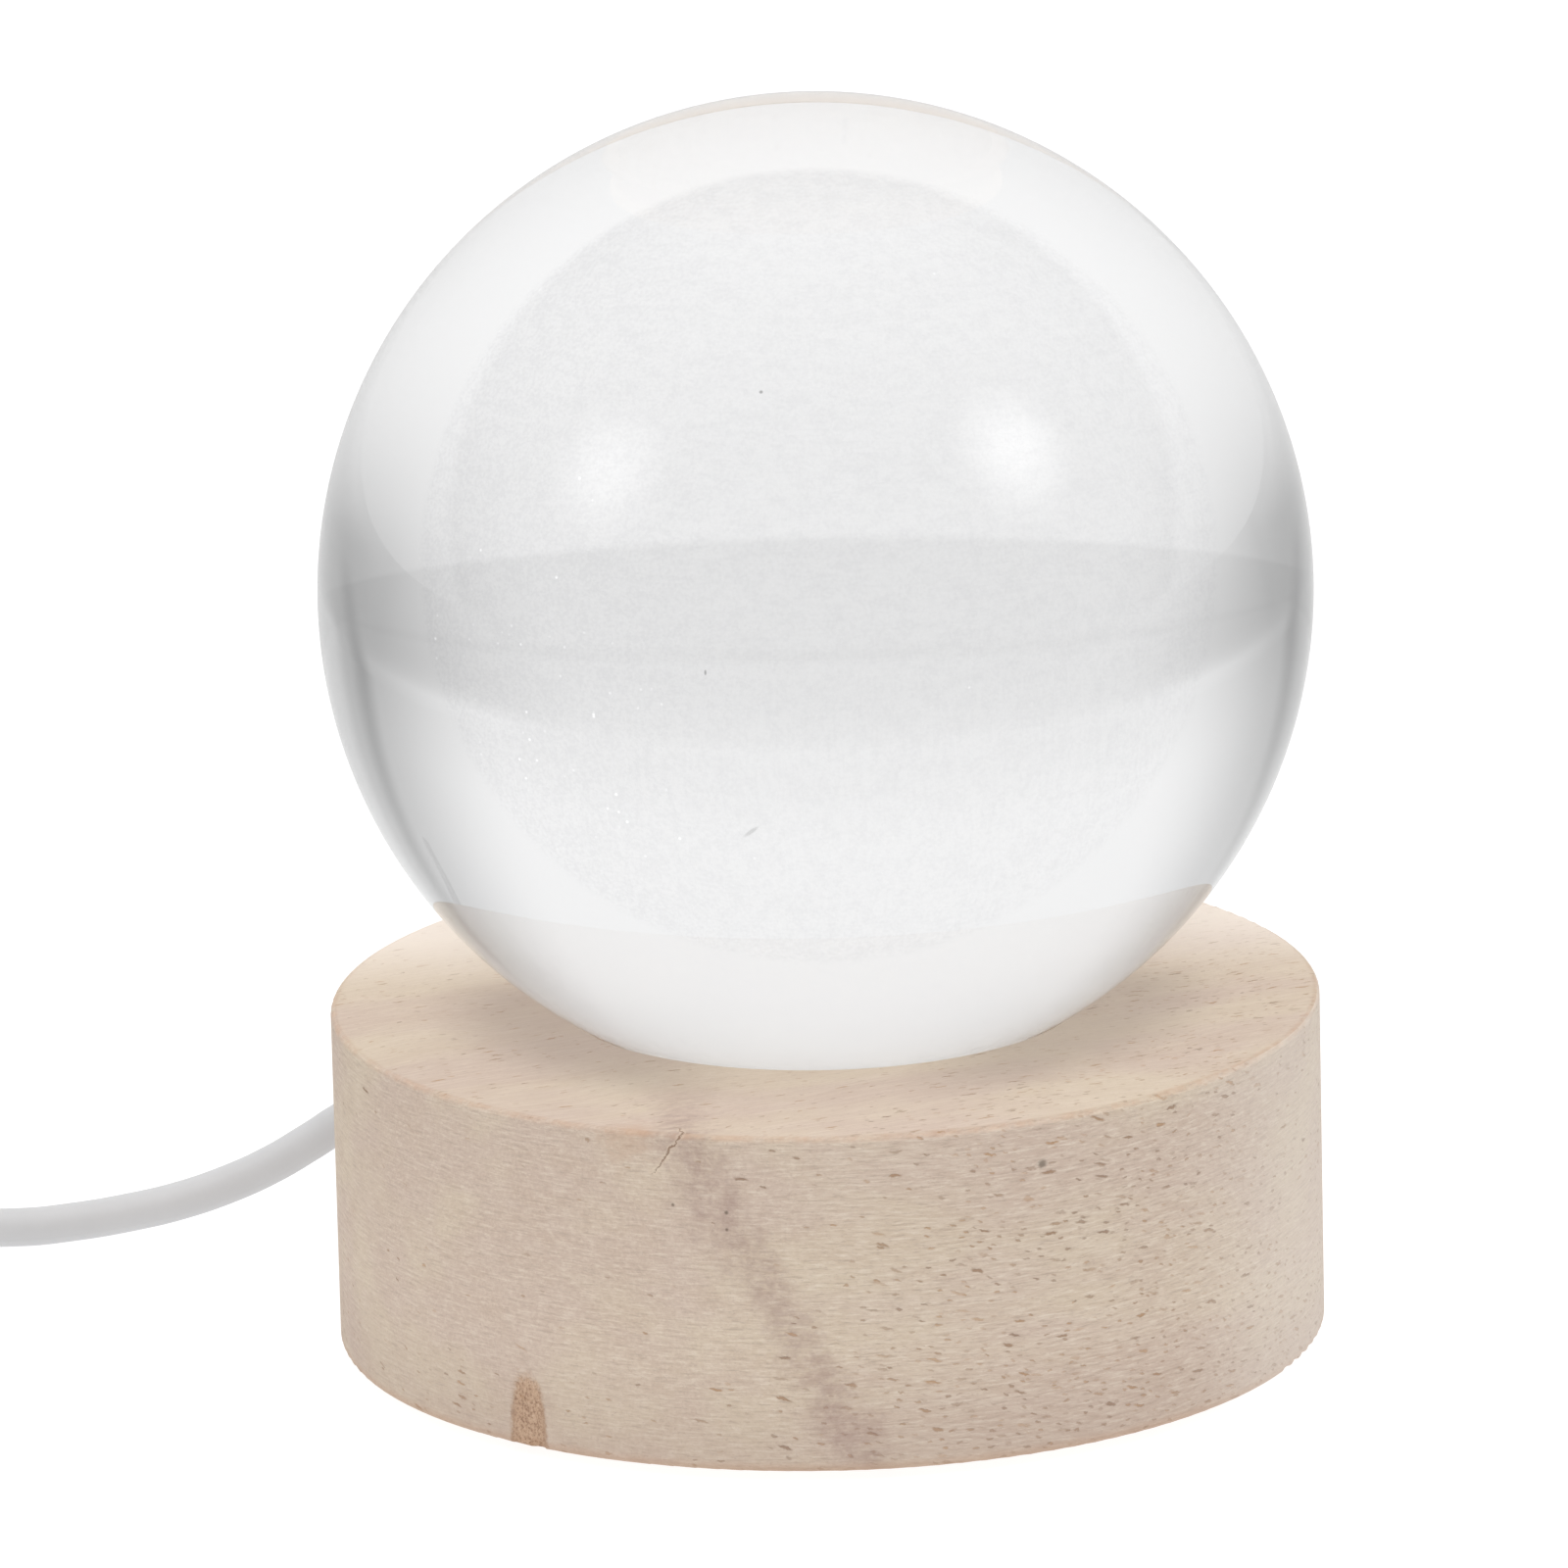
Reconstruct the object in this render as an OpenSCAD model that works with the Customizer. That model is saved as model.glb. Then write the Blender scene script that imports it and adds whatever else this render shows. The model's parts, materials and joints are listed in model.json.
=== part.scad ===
// Solid glass ball on a round wooden light base, with a white USB lead and an inline switch.
// Millimetres. Origin: centre of the base's footprint, on the surface that the base stands on.
// +Z is up, +X is to the right and -Y is the front. The lead leaves the base at the back left.

/* [Ball] */
// Diameter of the solid glass ball
ball_d = 80; // [79:0.5:83]
// Diameter of the circle where the ball passes through the top face of the base
seat_d = 42.6; // [42:0.2:44]
// Gap between the ball and its chamfered seat
seat_gap = 0.1; // [0.05:0.05:0.3]

/* [Base] */
// Diameter of the wooden base
base_d = 80; // [78:0.5:84]
// Height of the wood
base_h = 27.6; // [27:0.2:32]
// Radius of the small round on the upper and lower edges
edge_r = 0.5; // [0.3:0.1:1.2]
// Thickness of wood left under the light chamber
floor_t = 7.2; // [6.4:0.2:7.6]
// Diameter of each rubber foot
foot_d = 10; // [6:0.5:14]
// Thickness of each rubber foot
foot_t = 0.8; // [0.6:0.1:1]

/* [Light] */
// Free height between the ball's lowest point and the diffuser
diffuser_gap = 4.4; // [4.2:0.1:4.8]
// Thickness of the opal diffuser disc
diffuser_t = 2; // [1.5:0.1:2.2]
// Diameter of the light board
board_d = 30; // [29:0.5:31]
// Number of light-emitting packages in the ring
led_count = 6; // [3:1:6]

/* [Cord] */
// Diameter of the two-core lead
cord_d = 3.2; // [3:0.1:3.4]

/* [Switch] */
// Length of the switch body
switch_l = 36; // [35:0.5:38]
// Width of the switch body
switch_w = 14; // [13.6:0.1:15]
// Angle that the rocker turns between off and on
rocker_throw = 18; // [12:1:18]

/* [Plug] */
// Width of the plug's moulded body
plug_w = 16; // [14:0.5:16.5]
// Thickness of the plug's moulded body
plug_h = 8; // [7:0.25:8]

/* [Hidden] */
$fn = 96;
ball_r = ball_d / 2;
seat_r = seat_d / 2;
base_r = base_d / 2;
top_z = foot_t + base_h;
ball_z = top_z + sqrt(ball_r * ball_r - seat_r * seat_r);
over = 1; // how far a cutting tool runs past the surface it cuts

// Seat: a cone tangent to a sphere that is seat_gap larger than the ball
seat_inset = 0.4; // how far inside the seat circle the ball comes closest to the cone
seat_angle = asin((seat_r - seat_inset) / ball_r);
seat_touch_r = (ball_r + seat_gap) * sin(seat_angle);
seat_touch_z = ball_z - (ball_r + seat_gap) * cos(seat_angle);
seat_mouth_r = seat_touch_r + (top_z - seat_touch_z) / tan(seat_angle);
well_r = seat_r - 0.8;
well_edge_z = seat_touch_z - (seat_touch_r - well_r) * tan(seat_angle);

// Light chamber under the diffuser
chamber_r = 17.5;
chamber_z = foot_t + floor_t;
diffuser_top = ball_z - ball_r - diffuser_gap;
diffuser_z = diffuser_top - diffuser_t;
diffuser_r = well_r - 0.2;
board_t = 1.2;
board_top = chamber_z + board_t;
led_ring_r = 8;
led_start = 50; // azimuth of the first package, clear of the board screws
led_size = [3.5, 2.8, 0.7];
led_window_r = 1.15;
led_window_depth = 0.25;
resistor_ring_r = 3.6;
resistor_size = [2, 1.25, 0.5];
screw_ring_r = 12;
screw_start = 80;
screw_r = 1;
screw_l = 6;
screw_head_r = 1.9;
screw_head_t = 1.2;
foot_ring_r = 31;

// Cord entry
cord_r = cord_d / 2;
sides = 8; // sides of the swept cord
fit = 0.05; // radial clearance around a cord or a pin in its bore
exit_az = 140;
exit_z = 11.5;
channel_r = 1.8;
relief_bore_r = 2.7;
relief_in = 8; // depth of the strain relief's shank in the wood
relief_tip_r = 44; // how far from the base's axis the strain relief ends
relief_out = relief_tip_r - base_r;
cord_end_r = 13; // where the cord's jacket ends, over the light board
wire_r = 0.5;
wire_gap = 0.9; // each wire's offset from the cord's axis
wire_bend_r = 1.2;
pad_r = cord_end_r - 1 - wire_bend_r;
solder_h = 0.5;

// Lead from the base to the switch: X, Y and the height of the cord's underside
switch_pos = [-102, 27, 0];
switch_axis_z = 4.6;
switch_relief_l = 23 - switch_l / 2; // each relief ends 23 from the switch's middle
lead_route = [
    [-33.7, 28.3, 9.9], [-36.7, 30.2, 9.4], [-40, 31.3, 7.8], [-43.3, 31.9, 5.6],
    [-46.5, 32, 3.7], [-50, 31.7, 2.2], [-54.4, 30.8, 1], [-58.5, 29.8, 0.4],
    [-63, 28.5, 0.1], [-67.5, 27.6, 0], [-71.5, 27.1, 0.4], [-75.2, 27, 1.7],
    [-79, 27, 3]
];
// Run from the switch round to the coil
run_route = [
    [-125, 27, 3], [-128.8, 27, 2.5], [-132.6, 26.2, 1.6], [-136.2, 24.2, 0.9],
    [-139.3, 21.1, 0.6], [-141.6, 17, 0.5], [-142.8, 12, 0.5], [-143, 6, 0.5],
    [-143, 0, 0.5], [-143, -6, 0.5], [-143, -12, 0.5]
];
// Tail from the top of the coil down to the plug
tail_route = [
    [-121.7, -33.2, 10.2], [-116.3, -34.7, 10], [-110.6, -36.2, 9.2], [-104.8, -37, 7.9],
    [-99, -37.2, 6.5], [-93, -36.9, 5.1], [-87.3, -35.7, 3.9], [-82.5, -32.5, 3],
    [-79.2, -27.6, 2.5], [-78, -20, 2.4]
];

// Coil
coil_columns = 3; // turns side by side
coil_layers = 4;
coil_pos = [-121.75, -12];
coil_mean_r = 18;
tie_t = 0.5;
tie_w = 3.2;
tie_az = 45;
cord_pitch = cord_d + 0.05;
coil_half_w = ((coil_columns - 1) * cord_pitch + cord_d) / 2;
coil_h = (coil_layers - 1) * cord_pitch + cord_d;

// Switch
switch_h = 10.5;
switch_wall = 1.4;
switch_edge = 2.4;
window_l = 12.8;
window_w = 7.4;
rocker_l = 11.2;
rocker_w = 6.8;
pivot_z = 7.4;
pivot_r = 0.8;
rocker_mid_h = 2.6;
rocker_end_h = rocker_mid_h + rocker_l / 2 * tan(rocker_throw / 2);
rocker_base = 2.2; // depth of the rocker's lower face below its pivot
boss_w = 1.8;
boss_l = 4;
switch_screw_pos = [11.5, -3.9];
switch_screw_r = 0.9;
switch_boss_r = 1.6;
blade_l = 9;
blade_t = 0.4;
blade_w = 2.4;
tab_x = 9;
core_x = 13; // where the cord's jacket ends inside the switch
core_y = 0.8;

// Plug
plug_pos = [-78, -12, 4];
plug_l = 20;
plug_edge = 2.4;
plug_relief_l = 8;
usb_w = 12;
usb_h = 4.5;
usb_t = 0.3;
usb_out = 12; // length of metal shell in front of the moulded body
usb_in = 4;
tongue_w = 11;
tongue_h = 1.9;

// ---- helpers ----

// Places its children at equal angles round the base's axis
module around(count, start, r, z) {
    for (i = [0 : count - 1])
        rotate([0, 0, start + i * 360 / count])
            translate([r, 0, z])
                children();
}

// Turns +Z of its children to point out of the base along the cord channel, r from the axis
module along_exit(r) {
    rotate([0, 0, exit_az])
        translate([r, 0, exit_z])
            rotate([0, 90, 0])
                children();
}

// Rectangle [w, h] standing on the X axis of a drawing, centred in X, with round corners
module round_rect(w, h, r) {
    translate([-w / 2 + r, 0])
        square([w - 2 * r, h]);
    translate([-w / 2, r])
        square([w, h - 2 * r]);
    for (x = [-1, 1], y = [r, h - r])
        translate([x * (w / 2 - r), y])
            circle(r = r);
}

// Bar with half-round ends, length l along X, standing on Z = 0, with rounded edges
module pill(l, w, h, r) {
    rotate([90, 0, 90])
        linear_extrude(height = l - w, center = true)
            round_rect(w, h, r);
    for (a = [-90, 90])
        translate([sign(a) * (l - w) / 2, 0, 0])
            rotate([0, 0, -90 + (a < 0 ? 180 : 0)])
                rotate_extrude(angle = 180)
                    intersection() {
                        round_rect(w, h, r);
                        square([w, h]);
                    }
}

// Upright prism with half-round ends
module stadium(l, w, h) {
    linear_extrude(height = h) {
        square([l - w, w], center = true);
        for (s = [-1, 1])
            translate([s * (l - w) / 2, 0])
                circle(d = w);
    }
}

// Round rod between two points
module rod(p, q, r) {
    d = q - p;
    translate(p)
        rotate([0, acos(d[2] / norm(d)), atan2(d[1], d[0])])
            cylinder(r = r, h = norm(d));
}

// ---- swept cord ----

function unit(v) = v / norm(v);
function centre_line(route) = [for (p = route) p + [0, 0, cord_r]];
function heading(p, i, first, last) =
    i == 0 ? first
    : i == len(p) - 1 ? last
    : unit(p[i + 1] - p[i - 1]);
function ring(c, t, r) =
    let (s = unit(cross(t, [0, 0, 1])), u = cross(s, t))
    [for (k = [0 : sides - 1]) c + r * (cos(360 * k / sides) * s + sin(360 * k / sides) * u)];

// Tube along p, with its end faces square to the directions first and last
module tube(p, r, first, last) {
    n = len(p);
    points = [for (i = [0 : n - 1]) each ring(p[i], heading(p, i, first, last), r)];
    walls = [
        for (i = [0 : n - 2], k = [0 : sides - 1])
            let (a = i * sides, b = a + sides, m = (k + 1) % sides)
            [a + k, a + m, b + m, b + k]
    ];
    start_face = [for (k = [sides - 1 : -1 : 0]) k];
    end_face = [for (k = [0 : sides - 1]) (n - 1) * sides + k];
    polyhedron(points = points, faces = concat([start_face, end_face], walls));
}

// ---- ball ----

module crystal_ball() {
    color([0.93, 0.96, 0.98, 0.45])
        translate([0, 0, ball_z])
            sphere(r = ball_r, $fn = 180);
}

// ---- wooden base ----

module wood_profile() {
    difference() {
        translate([0, foot_t])
            intersection() {
                round_rect(base_d, base_h, edge_r);
                square([base_r, base_h]);
            }
        translate([0, chamber_z])
            square([chamber_r, base_h]);
        translate([0, diffuser_z])
            square([well_r, base_h]);
        polygon([
            [0, well_edge_z],
            [well_r, well_edge_z],
            [seat_mouth_r, top_z],
            [seat_mouth_r, top_z + over],
            [0, top_z + over]
        ]);
    }
}

module wood_base() {
    notch_az = -126; // where a small knot broke out of the lower edge
    notch_r = 0.9;
    color("burlywood")
        difference() {
            rotate_extrude($fn = 180)
                wood_profile();
            along_exit(chamber_r - over)
                cylinder(r = channel_r, h = base_r);
            along_exit(base_r - relief_in)
                cylinder(r = relief_bore_r, h = relief_in + over);
            around(3, screw_start, screw_ring_r, chamber_z - screw_l)
                cylinder(r = screw_r + fit, h = screw_l + over);
            rotate([0, 0, notch_az])
                translate([base_r + 0.2, 0, foot_t])
                    sphere(r = notch_r);
        }
}

module feet() {
    color("whitesmoke")
        around(4, 45, foot_ring_r, 0)
            cylinder(d = foot_d, h = foot_t);
}

// ---- light ----

module diffuser_disc() {
    color("white")
        translate([0, 0, diffuser_z])
            cylinder(r = diffuser_r, h = diffuser_t);
}

module led_board() {
    color("ghostwhite")
        difference() {
            translate([0, 0, chamber_z])
                cylinder(d = board_d, h = board_t);
            around(3, screw_start, screw_ring_r, chamber_z - over)
                cylinder(r = screw_r + 0.15, h = board_t + 2 * over);
        }
}

module led_packages() {
    color("white")
        around(led_count, led_start, led_ring_r, board_top)
            difference() {
                translate([0, 0, led_size[2] / 2])
                    cube(led_size, center = true);
                translate([0, 0, led_size[2] - led_window_depth])
                    cylinder(r = led_window_r, h = over);
            }
}

module led_phosphors() {
    color("gold")
        around(led_count, led_start, led_ring_r, board_top + led_size[2] - led_window_depth)
            cylinder(r = led_window_r - 0.02, h = led_window_depth - 0.05);
}

module chip_resistors() {
    color("dimgray")
        around(led_count, led_start, resistor_ring_r, board_top + resistor_size[2] / 2)
            cube(resistor_size, center = true);
}

module board_screws() {
    slot = [2.2, 0.5, 0.6];
    color("silver")
        around(3, screw_start, screw_ring_r, board_top)
            difference() {
                union() {
                    cylinder(r = screw_head_r, h = screw_head_t);
                    translate([0, 0, -screw_l + board_t])
                        cylinder(r = screw_r, h = screw_l - board_t + screw_head_t / 2);
                }
                for (a = [0, 90])
                    rotate([0, 0, a])
                        translate([0, 0, screw_head_t])
                            cube([slot[0], slot[1], 2 * slot[2]], center = true);
            }
}

module solder_joints() {
    color("lightgray")
        rotate([0, 0, exit_az])
            for (s = [-1, 1])
                translate([pad_r, s * wire_gap, board_top])
                    cylinder(r1 = 0.8, r2 = wire_r + 0.1, h = solder_h);
}

// One wire from the cord's end, round a bend and down to its solder joint
module wire(side) {
    rotate([0, 0, exit_az])
        translate([pad_r + wire_bend_r, side * wire_gap, exit_z]) {
            rotate([0, 90, 0])
                cylinder(r = wire_r, h = cord_end_r - pad_r - wire_bend_r);
            translate([0, 0, -wire_bend_r])
                rotate([90, 0, 0])
                    rotate([0, 0, 90])
                        rotate_extrude(angle = 90)
                            translate([wire_bend_r, 0])
                                circle(r = wire_r);
            translate([-wire_bend_r, 0, board_top + solder_h - exit_z])
                cylinder(r = wire_r, h = exit_z - wire_bend_r - board_top - solder_h);
        }
}

module wire_positive() {
    color("firebrick")
        wire(1);
}

module wire_negative() {
    color([0.12, 0.12, 0.12])
        wire(-1);
}

module inner_cord() {
    color("white")
        along_exit(cord_end_r)
            cylinder(r = cord_r, h = relief_tip_r - cord_end_r);
}

module inner_cable_tie() {
    tie_r = cord_r + 0.6;
    strap_w = 2.4;
    head = [3.4, 2.1, 3];
    color("ivory")
        along_exit(14.2)
            difference() {
                union() {
                    cylinder(r = tie_r, h = strap_w);
                    translate([-head[0] / 2, cord_r, -0.3])
                        cube(head);
                }
                translate([0, 0, -over])
                    cylinder(r = cord_r + fit, h = 2 * over + head[2]);
            }
}

module strain_relief() {
    flange_t = 1;
    flange_r = 4;
    color("white")
        along_exit(base_r)
            difference() {
                union() {
                    translate([0, 0, -relief_in])
                        cylinder(r = relief_bore_r - fit, h = relief_in + flange_t);
                    cylinder(r = flange_r, h = flange_t);
                    translate([0, 0, flange_t])
                        cylinder(r1 = 2.7, r2 = 2.1, h = relief_out - flange_t);
                }
                translate([0, 0, -relief_in - over])
                    cylinder(r = cord_r + fit, h = relief_in + relief_out + 2 * over);
            }
}

// ---- cord ----

module cord_lead() {
    color("white")
        tube(centre_line(lead_route), cord_r, [cos(exit_az), sin(exit_az), 0], [-1, 0, 0]);
}

module cord_run() {
    color("white")
        tube(centre_line(run_route), cord_r, [-1, 0, 0], [0, -1, 0]);
}

module cord_tail() {
    color("white")
        tube(centre_line(tail_route), cord_r, [1, 0, 0], [0, 1, 0]);
}

module cord_coil() {
    color("white")
        translate([coil_pos[0], coil_pos[1], tie_t])
            rotate_extrude()
                translate([coil_mean_r, 0])
                    round_rect(2 * coil_half_w, coil_h, cord_r);
}

module coil_tie() {
    slack = 0.15; // room for the coil's curve inside the flat tie
    inner_w = 2 * (coil_half_w + slack);
    color("gainsboro")
        translate([coil_pos[0], coil_pos[1], 0])
            rotate([0, 0, tie_az])
                translate([coil_mean_r, tie_w / 2, 0])
                    rotate([90, 0, 0])
                        linear_extrude(height = tie_w)
                            difference() {
                                round_rect(inner_w + 2 * tie_t, coil_h + 2 * tie_t, cord_r);
                                translate([0, tie_t])
                                    round_rect(inner_w, coil_h, cord_r / 2);
                            }
}

// ---- switch ----

module switch_shell() {
    difference() {
        pill(switch_l, switch_w, switch_h, switch_edge);
        translate([0, 0, switch_wall])
            stadium(
                switch_l - 2 * switch_wall,
                switch_w - 2 * switch_wall,
                switch_h - 2 * switch_wall
            );
    }
}

// Material around each screw, standing in the shell
module screw_bosses() {
    for (s = [-1, 1])
        translate([s * switch_screw_pos[0], switch_screw_pos[1], switch_wall / 2])
            cylinder(r = switch_boss_r, h = switch_h - switch_wall);
}

module screw_holes() {
    for (s = [-1, 1])
        translate([s * switch_screw_pos[0], switch_screw_pos[1], 0]) {
            translate([0, 0, -over])
                cylinder(r = switch_screw_r + fit, h = over + switch_h - switch_wall);
            translate([0, 0, -over])
                cylinder(r = 1.8, h = over + 1.3);
        }
}

module cord_ports() {
    for (s = [-1, 1])
        translate([s * (switch_l / 2 - switch_wall - over), 0, switch_axis_z])
            rotate([0, s * 90, 0])
                cylinder(r = 2.2, h = switch_wall + 2 * over);
}

module switch_lower_shell() {
    color("white")
        translate(switch_pos)
            difference() {
                intersection() {
                    union() {
                        switch_shell();
                        screw_bosses();
                    }
                    translate([-switch_l, -switch_w, 0])
                        cube([2 * switch_l, 2 * switch_w, switch_axis_z]);
                }
                screw_holes();
                cord_ports();
            }
}

module switch_upper_shell() {
    boss_h = switch_h - switch_wall - pivot_z + 1.4;
    color("white")
        translate(switch_pos)
            difference() {
                intersection() {
                    union() {
                        switch_shell();
                        screw_bosses();
                        for (s = [-1, 1])
                            translate([
                                -boss_l / 2,
                                s > 0 ? window_w / 2 + 0.1 : -window_w / 2 - 0.1 - boss_w,
                                switch_h - switch_wall - boss_h
                            ])
                                cube([boss_l, boss_w, boss_h + switch_wall / 2]);
                    }
                    translate([-switch_l, -switch_w, switch_axis_z])
                        cube([2 * switch_l, 2 * switch_w, switch_h]);
                }
                translate([-window_l / 2, -window_w / 2, switch_h / 2 + 1])
                    cube([window_l, window_w, switch_h]);
                translate([0, 0, pivot_z])
                    rotate([90, 0, 0])
                        cylinder(r = pivot_r + 0.02, h = switch_w - 2 * switch_wall, center = true);
                screw_holes();
                cord_ports();
            }
}

// Puts its children, drawn round the pivot, in the rocker's off position
module at_rocker() {
    translate(switch_pos + [0, 0, pivot_z])
        rotate([0, -rocker_throw / 2, 0])
            children();
}

module switch_rocker() {
    shoulder = 0.8;
    foot_half = 1.8;
    color("white")
        at_rocker()
            difference() {
                rotate([90, 0, 0])
                    linear_extrude(height = rocker_w, center = true)
                        polygon([
                            [-rocker_l / 2, rocker_end_h],
                            [0, rocker_mid_h],
                            [rocker_l / 2, rocker_end_h],
                            [rocker_l / 2 - 0.4, -shoulder],
                            [foot_half, -rocker_base],
                            [-foot_half, -rocker_base],
                            [-rocker_l / 2 + 0.4, -shoulder]
                        ]);
                rotate([90, 0, 0])
                    cylinder(r = pivot_r + fit, h = rocker_w + 2 * over, center = true);
            }
}

module rocker_pin() {
    color("silver")
        translate(switch_pos + [0, 0, pivot_z])
            rotate([90, 0, 0])
                cylinder(r = pivot_r, h = window_w + 2 * boss_w - 0.2, center = true);
}

module contact_blade() {
    color("goldenrod")
        at_rocker()
            translate([-blade_l / 2, -blade_w / 2, -rocker_base - blade_t])
                cube([blade_l, blade_w, blade_t]);
}

// Bent strip with a tab for the wire, a run along the floor and a post that the blade meets
module terminal(x_tab, x_post, top) {
    strip_t = 0.5;
    post_l = 1;
    x_low = min(x_tab - strip_t / 2, x_post - post_l / 2);
    x_high = max(x_tab + strip_t / 2, x_post + post_l / 2);
    translate([x_low, -blade_w / 2, switch_wall])
        cube([x_high - x_low, blade_w, strip_t]);
    translate([x_tab - strip_t / 2, -blade_w / 2, switch_wall])
        cube([strip_t, blade_w, switch_axis_z + 1 - switch_wall]);
    translate([x_post - post_l / 2, -blade_w / 2, switch_wall])
        cube([post_l, blade_w, top - switch_wall]);
}

module switch_terminals() {
    centre_top = 4.4;
    side_top = 3.9;
    side_x = 4.1;
    color("goldenrod")
        translate(switch_pos) {
            terminal(-tab_x, 0, centre_top);
            terminal(tab_x, side_x, side_top);
        }
}

// Quarter turn of wire in the XY plane, round the origin
module elbow() {
    rotate_extrude(angle = 90)
        translate([wire_bend_r, 0])
            circle(r = wire_r);
}

module switch_wires() {
    z = switch_axis_z;
    back = 4; // how far behind the terminals the straight-through core passes
    turn_x = core_x - 0.4;
    leg_x = turn_x - wire_bend_r;
    run_x = leg_x - wire_bend_r;
    color("firebrick")
        translate(switch_pos)
            for (s = [-1, 1])
                rod([s * core_x, -core_y, z], [s * (tab_x + 0.25), -core_y, z], wire_r);
    color([0.12, 0.12, 0.12])
        translate(switch_pos) {
            rod([-run_x, back, z], [run_x, back, z], wire_r);
            for (m = [0, 1])
                mirror([m, 0, 0]) {
                    rod([core_x, core_y, z], [turn_x, core_y, z], wire_r);
                    translate([turn_x, core_y + wire_bend_r, z])
                        rotate([0, 0, 180])
                            elbow();
                    rod([leg_x, core_y + wire_bend_r, z], [leg_x, back - wire_bend_r, z], wire_r);
                    translate([run_x, back - wire_bend_r, z])
                        elbow();
                }
        }
}

module switch_screws() {
    head_z = 0.3;
    head_t = 1;
    shank_l = 7;
    color("silver")
        translate(switch_pos)
            for (s = [-1, 1])
                translate([s * switch_screw_pos[0], switch_screw_pos[1], head_z])
                    difference() {
                        union() {
                            cylinder(r = 1.7, h = head_t);
                            cylinder(r = switch_screw_r, h = head_t + shank_l);
                        }
                        for (a = [0, 90])
                            rotate([0, 0, a])
                                cube([2, 0.5, 1], center = true);
                    }
}

module switch_reliefs() {
    flange_t = 1;
    color("white")
        translate(switch_pos + [0, 0, switch_axis_z])
            for (s = [-1, 1])
                translate([s * (switch_l / 2), 0, 0])
                    rotate([0, s * 90, 0])
                        difference() {
                            union() {
                                translate([0, 0, -switch_wall - 0.6])
                                    cylinder(r = 2.15, h = switch_wall + 0.6 + flange_t);
                                cylinder(r = 3, h = flange_t);
                                translate([0, 0, flange_t])
                                    cylinder(r1 = 2.7, r2 = 2.1, h = switch_relief_l - flange_t);
                            }
                            translate([0, 0, -switch_wall - 0.6 - over])
                                cylinder(r = cord_r + fit, h = switch_relief_l + 3 * over + switch_wall);
                        }
}

module switch_cord_ends() {
    color("white")
        translate(switch_pos + [0, 0, switch_axis_z])
            for (s = [-1, 1])
                translate([s * core_x, 0, 0])
                    rotate([0, s * 90, 0])
                        cylinder(r = cord_r, h = switch_l / 2 + switch_relief_l - core_x);
}

// ---- plug ----

module plug_body() {
    rib_count = 3;
    color("white")
        translate(plug_pos)
            rotate([-90, 0, 0])
                difference() {
                    union() {
                        translate([0, plug_h / 2, 0])
                            mirror([0, 1, 0])
                                linear_extrude(height = plug_l)
                                    round_rect(plug_w, plug_h, plug_edge);
                        translate([0, 0, -plug_relief_l])
                            cylinder(r1 = 2.1, r2 = 2.7, h = plug_relief_l);
                        for (i = [0 : rib_count - 1])
                            translate([0, 0, -plug_relief_l + 1.6 + 2.2 * i])
                                cylinder(r = 2.8 + 0.15 * i, h = 1.1);
                    }
                    translate([0, 0, plug_l - usb_in + over / 2])
                        cube([usb_w + 0.02, usb_h + 0.02, 2 * usb_in + over], center = true);
                }
}

module plug_shell() {
    window = [2.4, 2];
    color("silver")
        translate(plug_pos + [0, plug_l - usb_in, 0])
            difference() {
                translate([-usb_w / 2, 0, -usb_h / 2])
                    cube([usb_w, usb_in + usb_out, usb_h]);
                translate([-usb_w / 2 + usb_t, -over, -usb_h / 2 + usb_t])
                    cube([usb_w - 2 * usb_t, usb_in + usb_out + 2 * over, usb_h - 2 * usb_t]);
                for (x = [-1, 1])
                    translate([x * 2.6 - window[0] / 2, usb_in + 5.4, -usb_h])
                        cube([window[0], window[1], 2 * usb_h]);
            }
}

module plug_insulator() {
    color("white")
        translate(plug_pos + [0, plug_l - usb_in, 0])
            translate([-tongue_w / 2, 0, -usb_h / 2 + usb_t])
                cube([tongue_w, usb_in + usb_out - 0.6, tongue_h]);
}

module plug_contacts() {
    pitch = 2.25;
    contact_w = 1;
    contact_t = 0.2;
    color("gold")
        translate(plug_pos + [0, plug_l - usb_in, 0])
            for (i = [0 : 3])
                let (outer = i == 0 || i == 3, length = outer ? 8.4 : 7.4)
                translate([
                    (i - 1.5) * pitch - contact_w / 2,
                    usb_in + usb_out - 1.4 - length,
                    -usb_h / 2 + usb_t + tongue_h
                ])
                    cube([contact_w, length, contact_t]);
}

// ---- assembly ----

crystal_ball();
wood_base();
diffuser_disc();
led_board();
led_packages();
led_phosphors();
chip_resistors();
board_screws();
solder_joints();
wire_positive();
wire_negative();
inner_cord();
inner_cable_tie();
strain_relief();
feet();
cord_lead();
switch_reliefs();
switch_cord_ends();
switch_lower_shell();
switch_upper_shell();
switch_rocker();
rocker_pin();
contact_blade();
switch_terminals();
switch_wires();
switch_screws();
cord_run();
cord_coil();
coil_tie();
cord_tail();
plug_body();
plug_shell();
plug_insulator();
plug_contacts();
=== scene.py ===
# %% [markdown]
# # A glass ball on a lit wooden base
# A solid clear glass ball sits in the seat of a turned wooden disc. Under the ball hide an opal
# disc and a small light board, and a soft white lead leaves the back of the wood. The solid model
# is loaded first, as a fixed frame. Everything made here is in metres and lies in that frame.

# %% Load the frame
import json
import math

import bmesh
import bpy
from mathutils import Matrix, Vector


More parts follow.
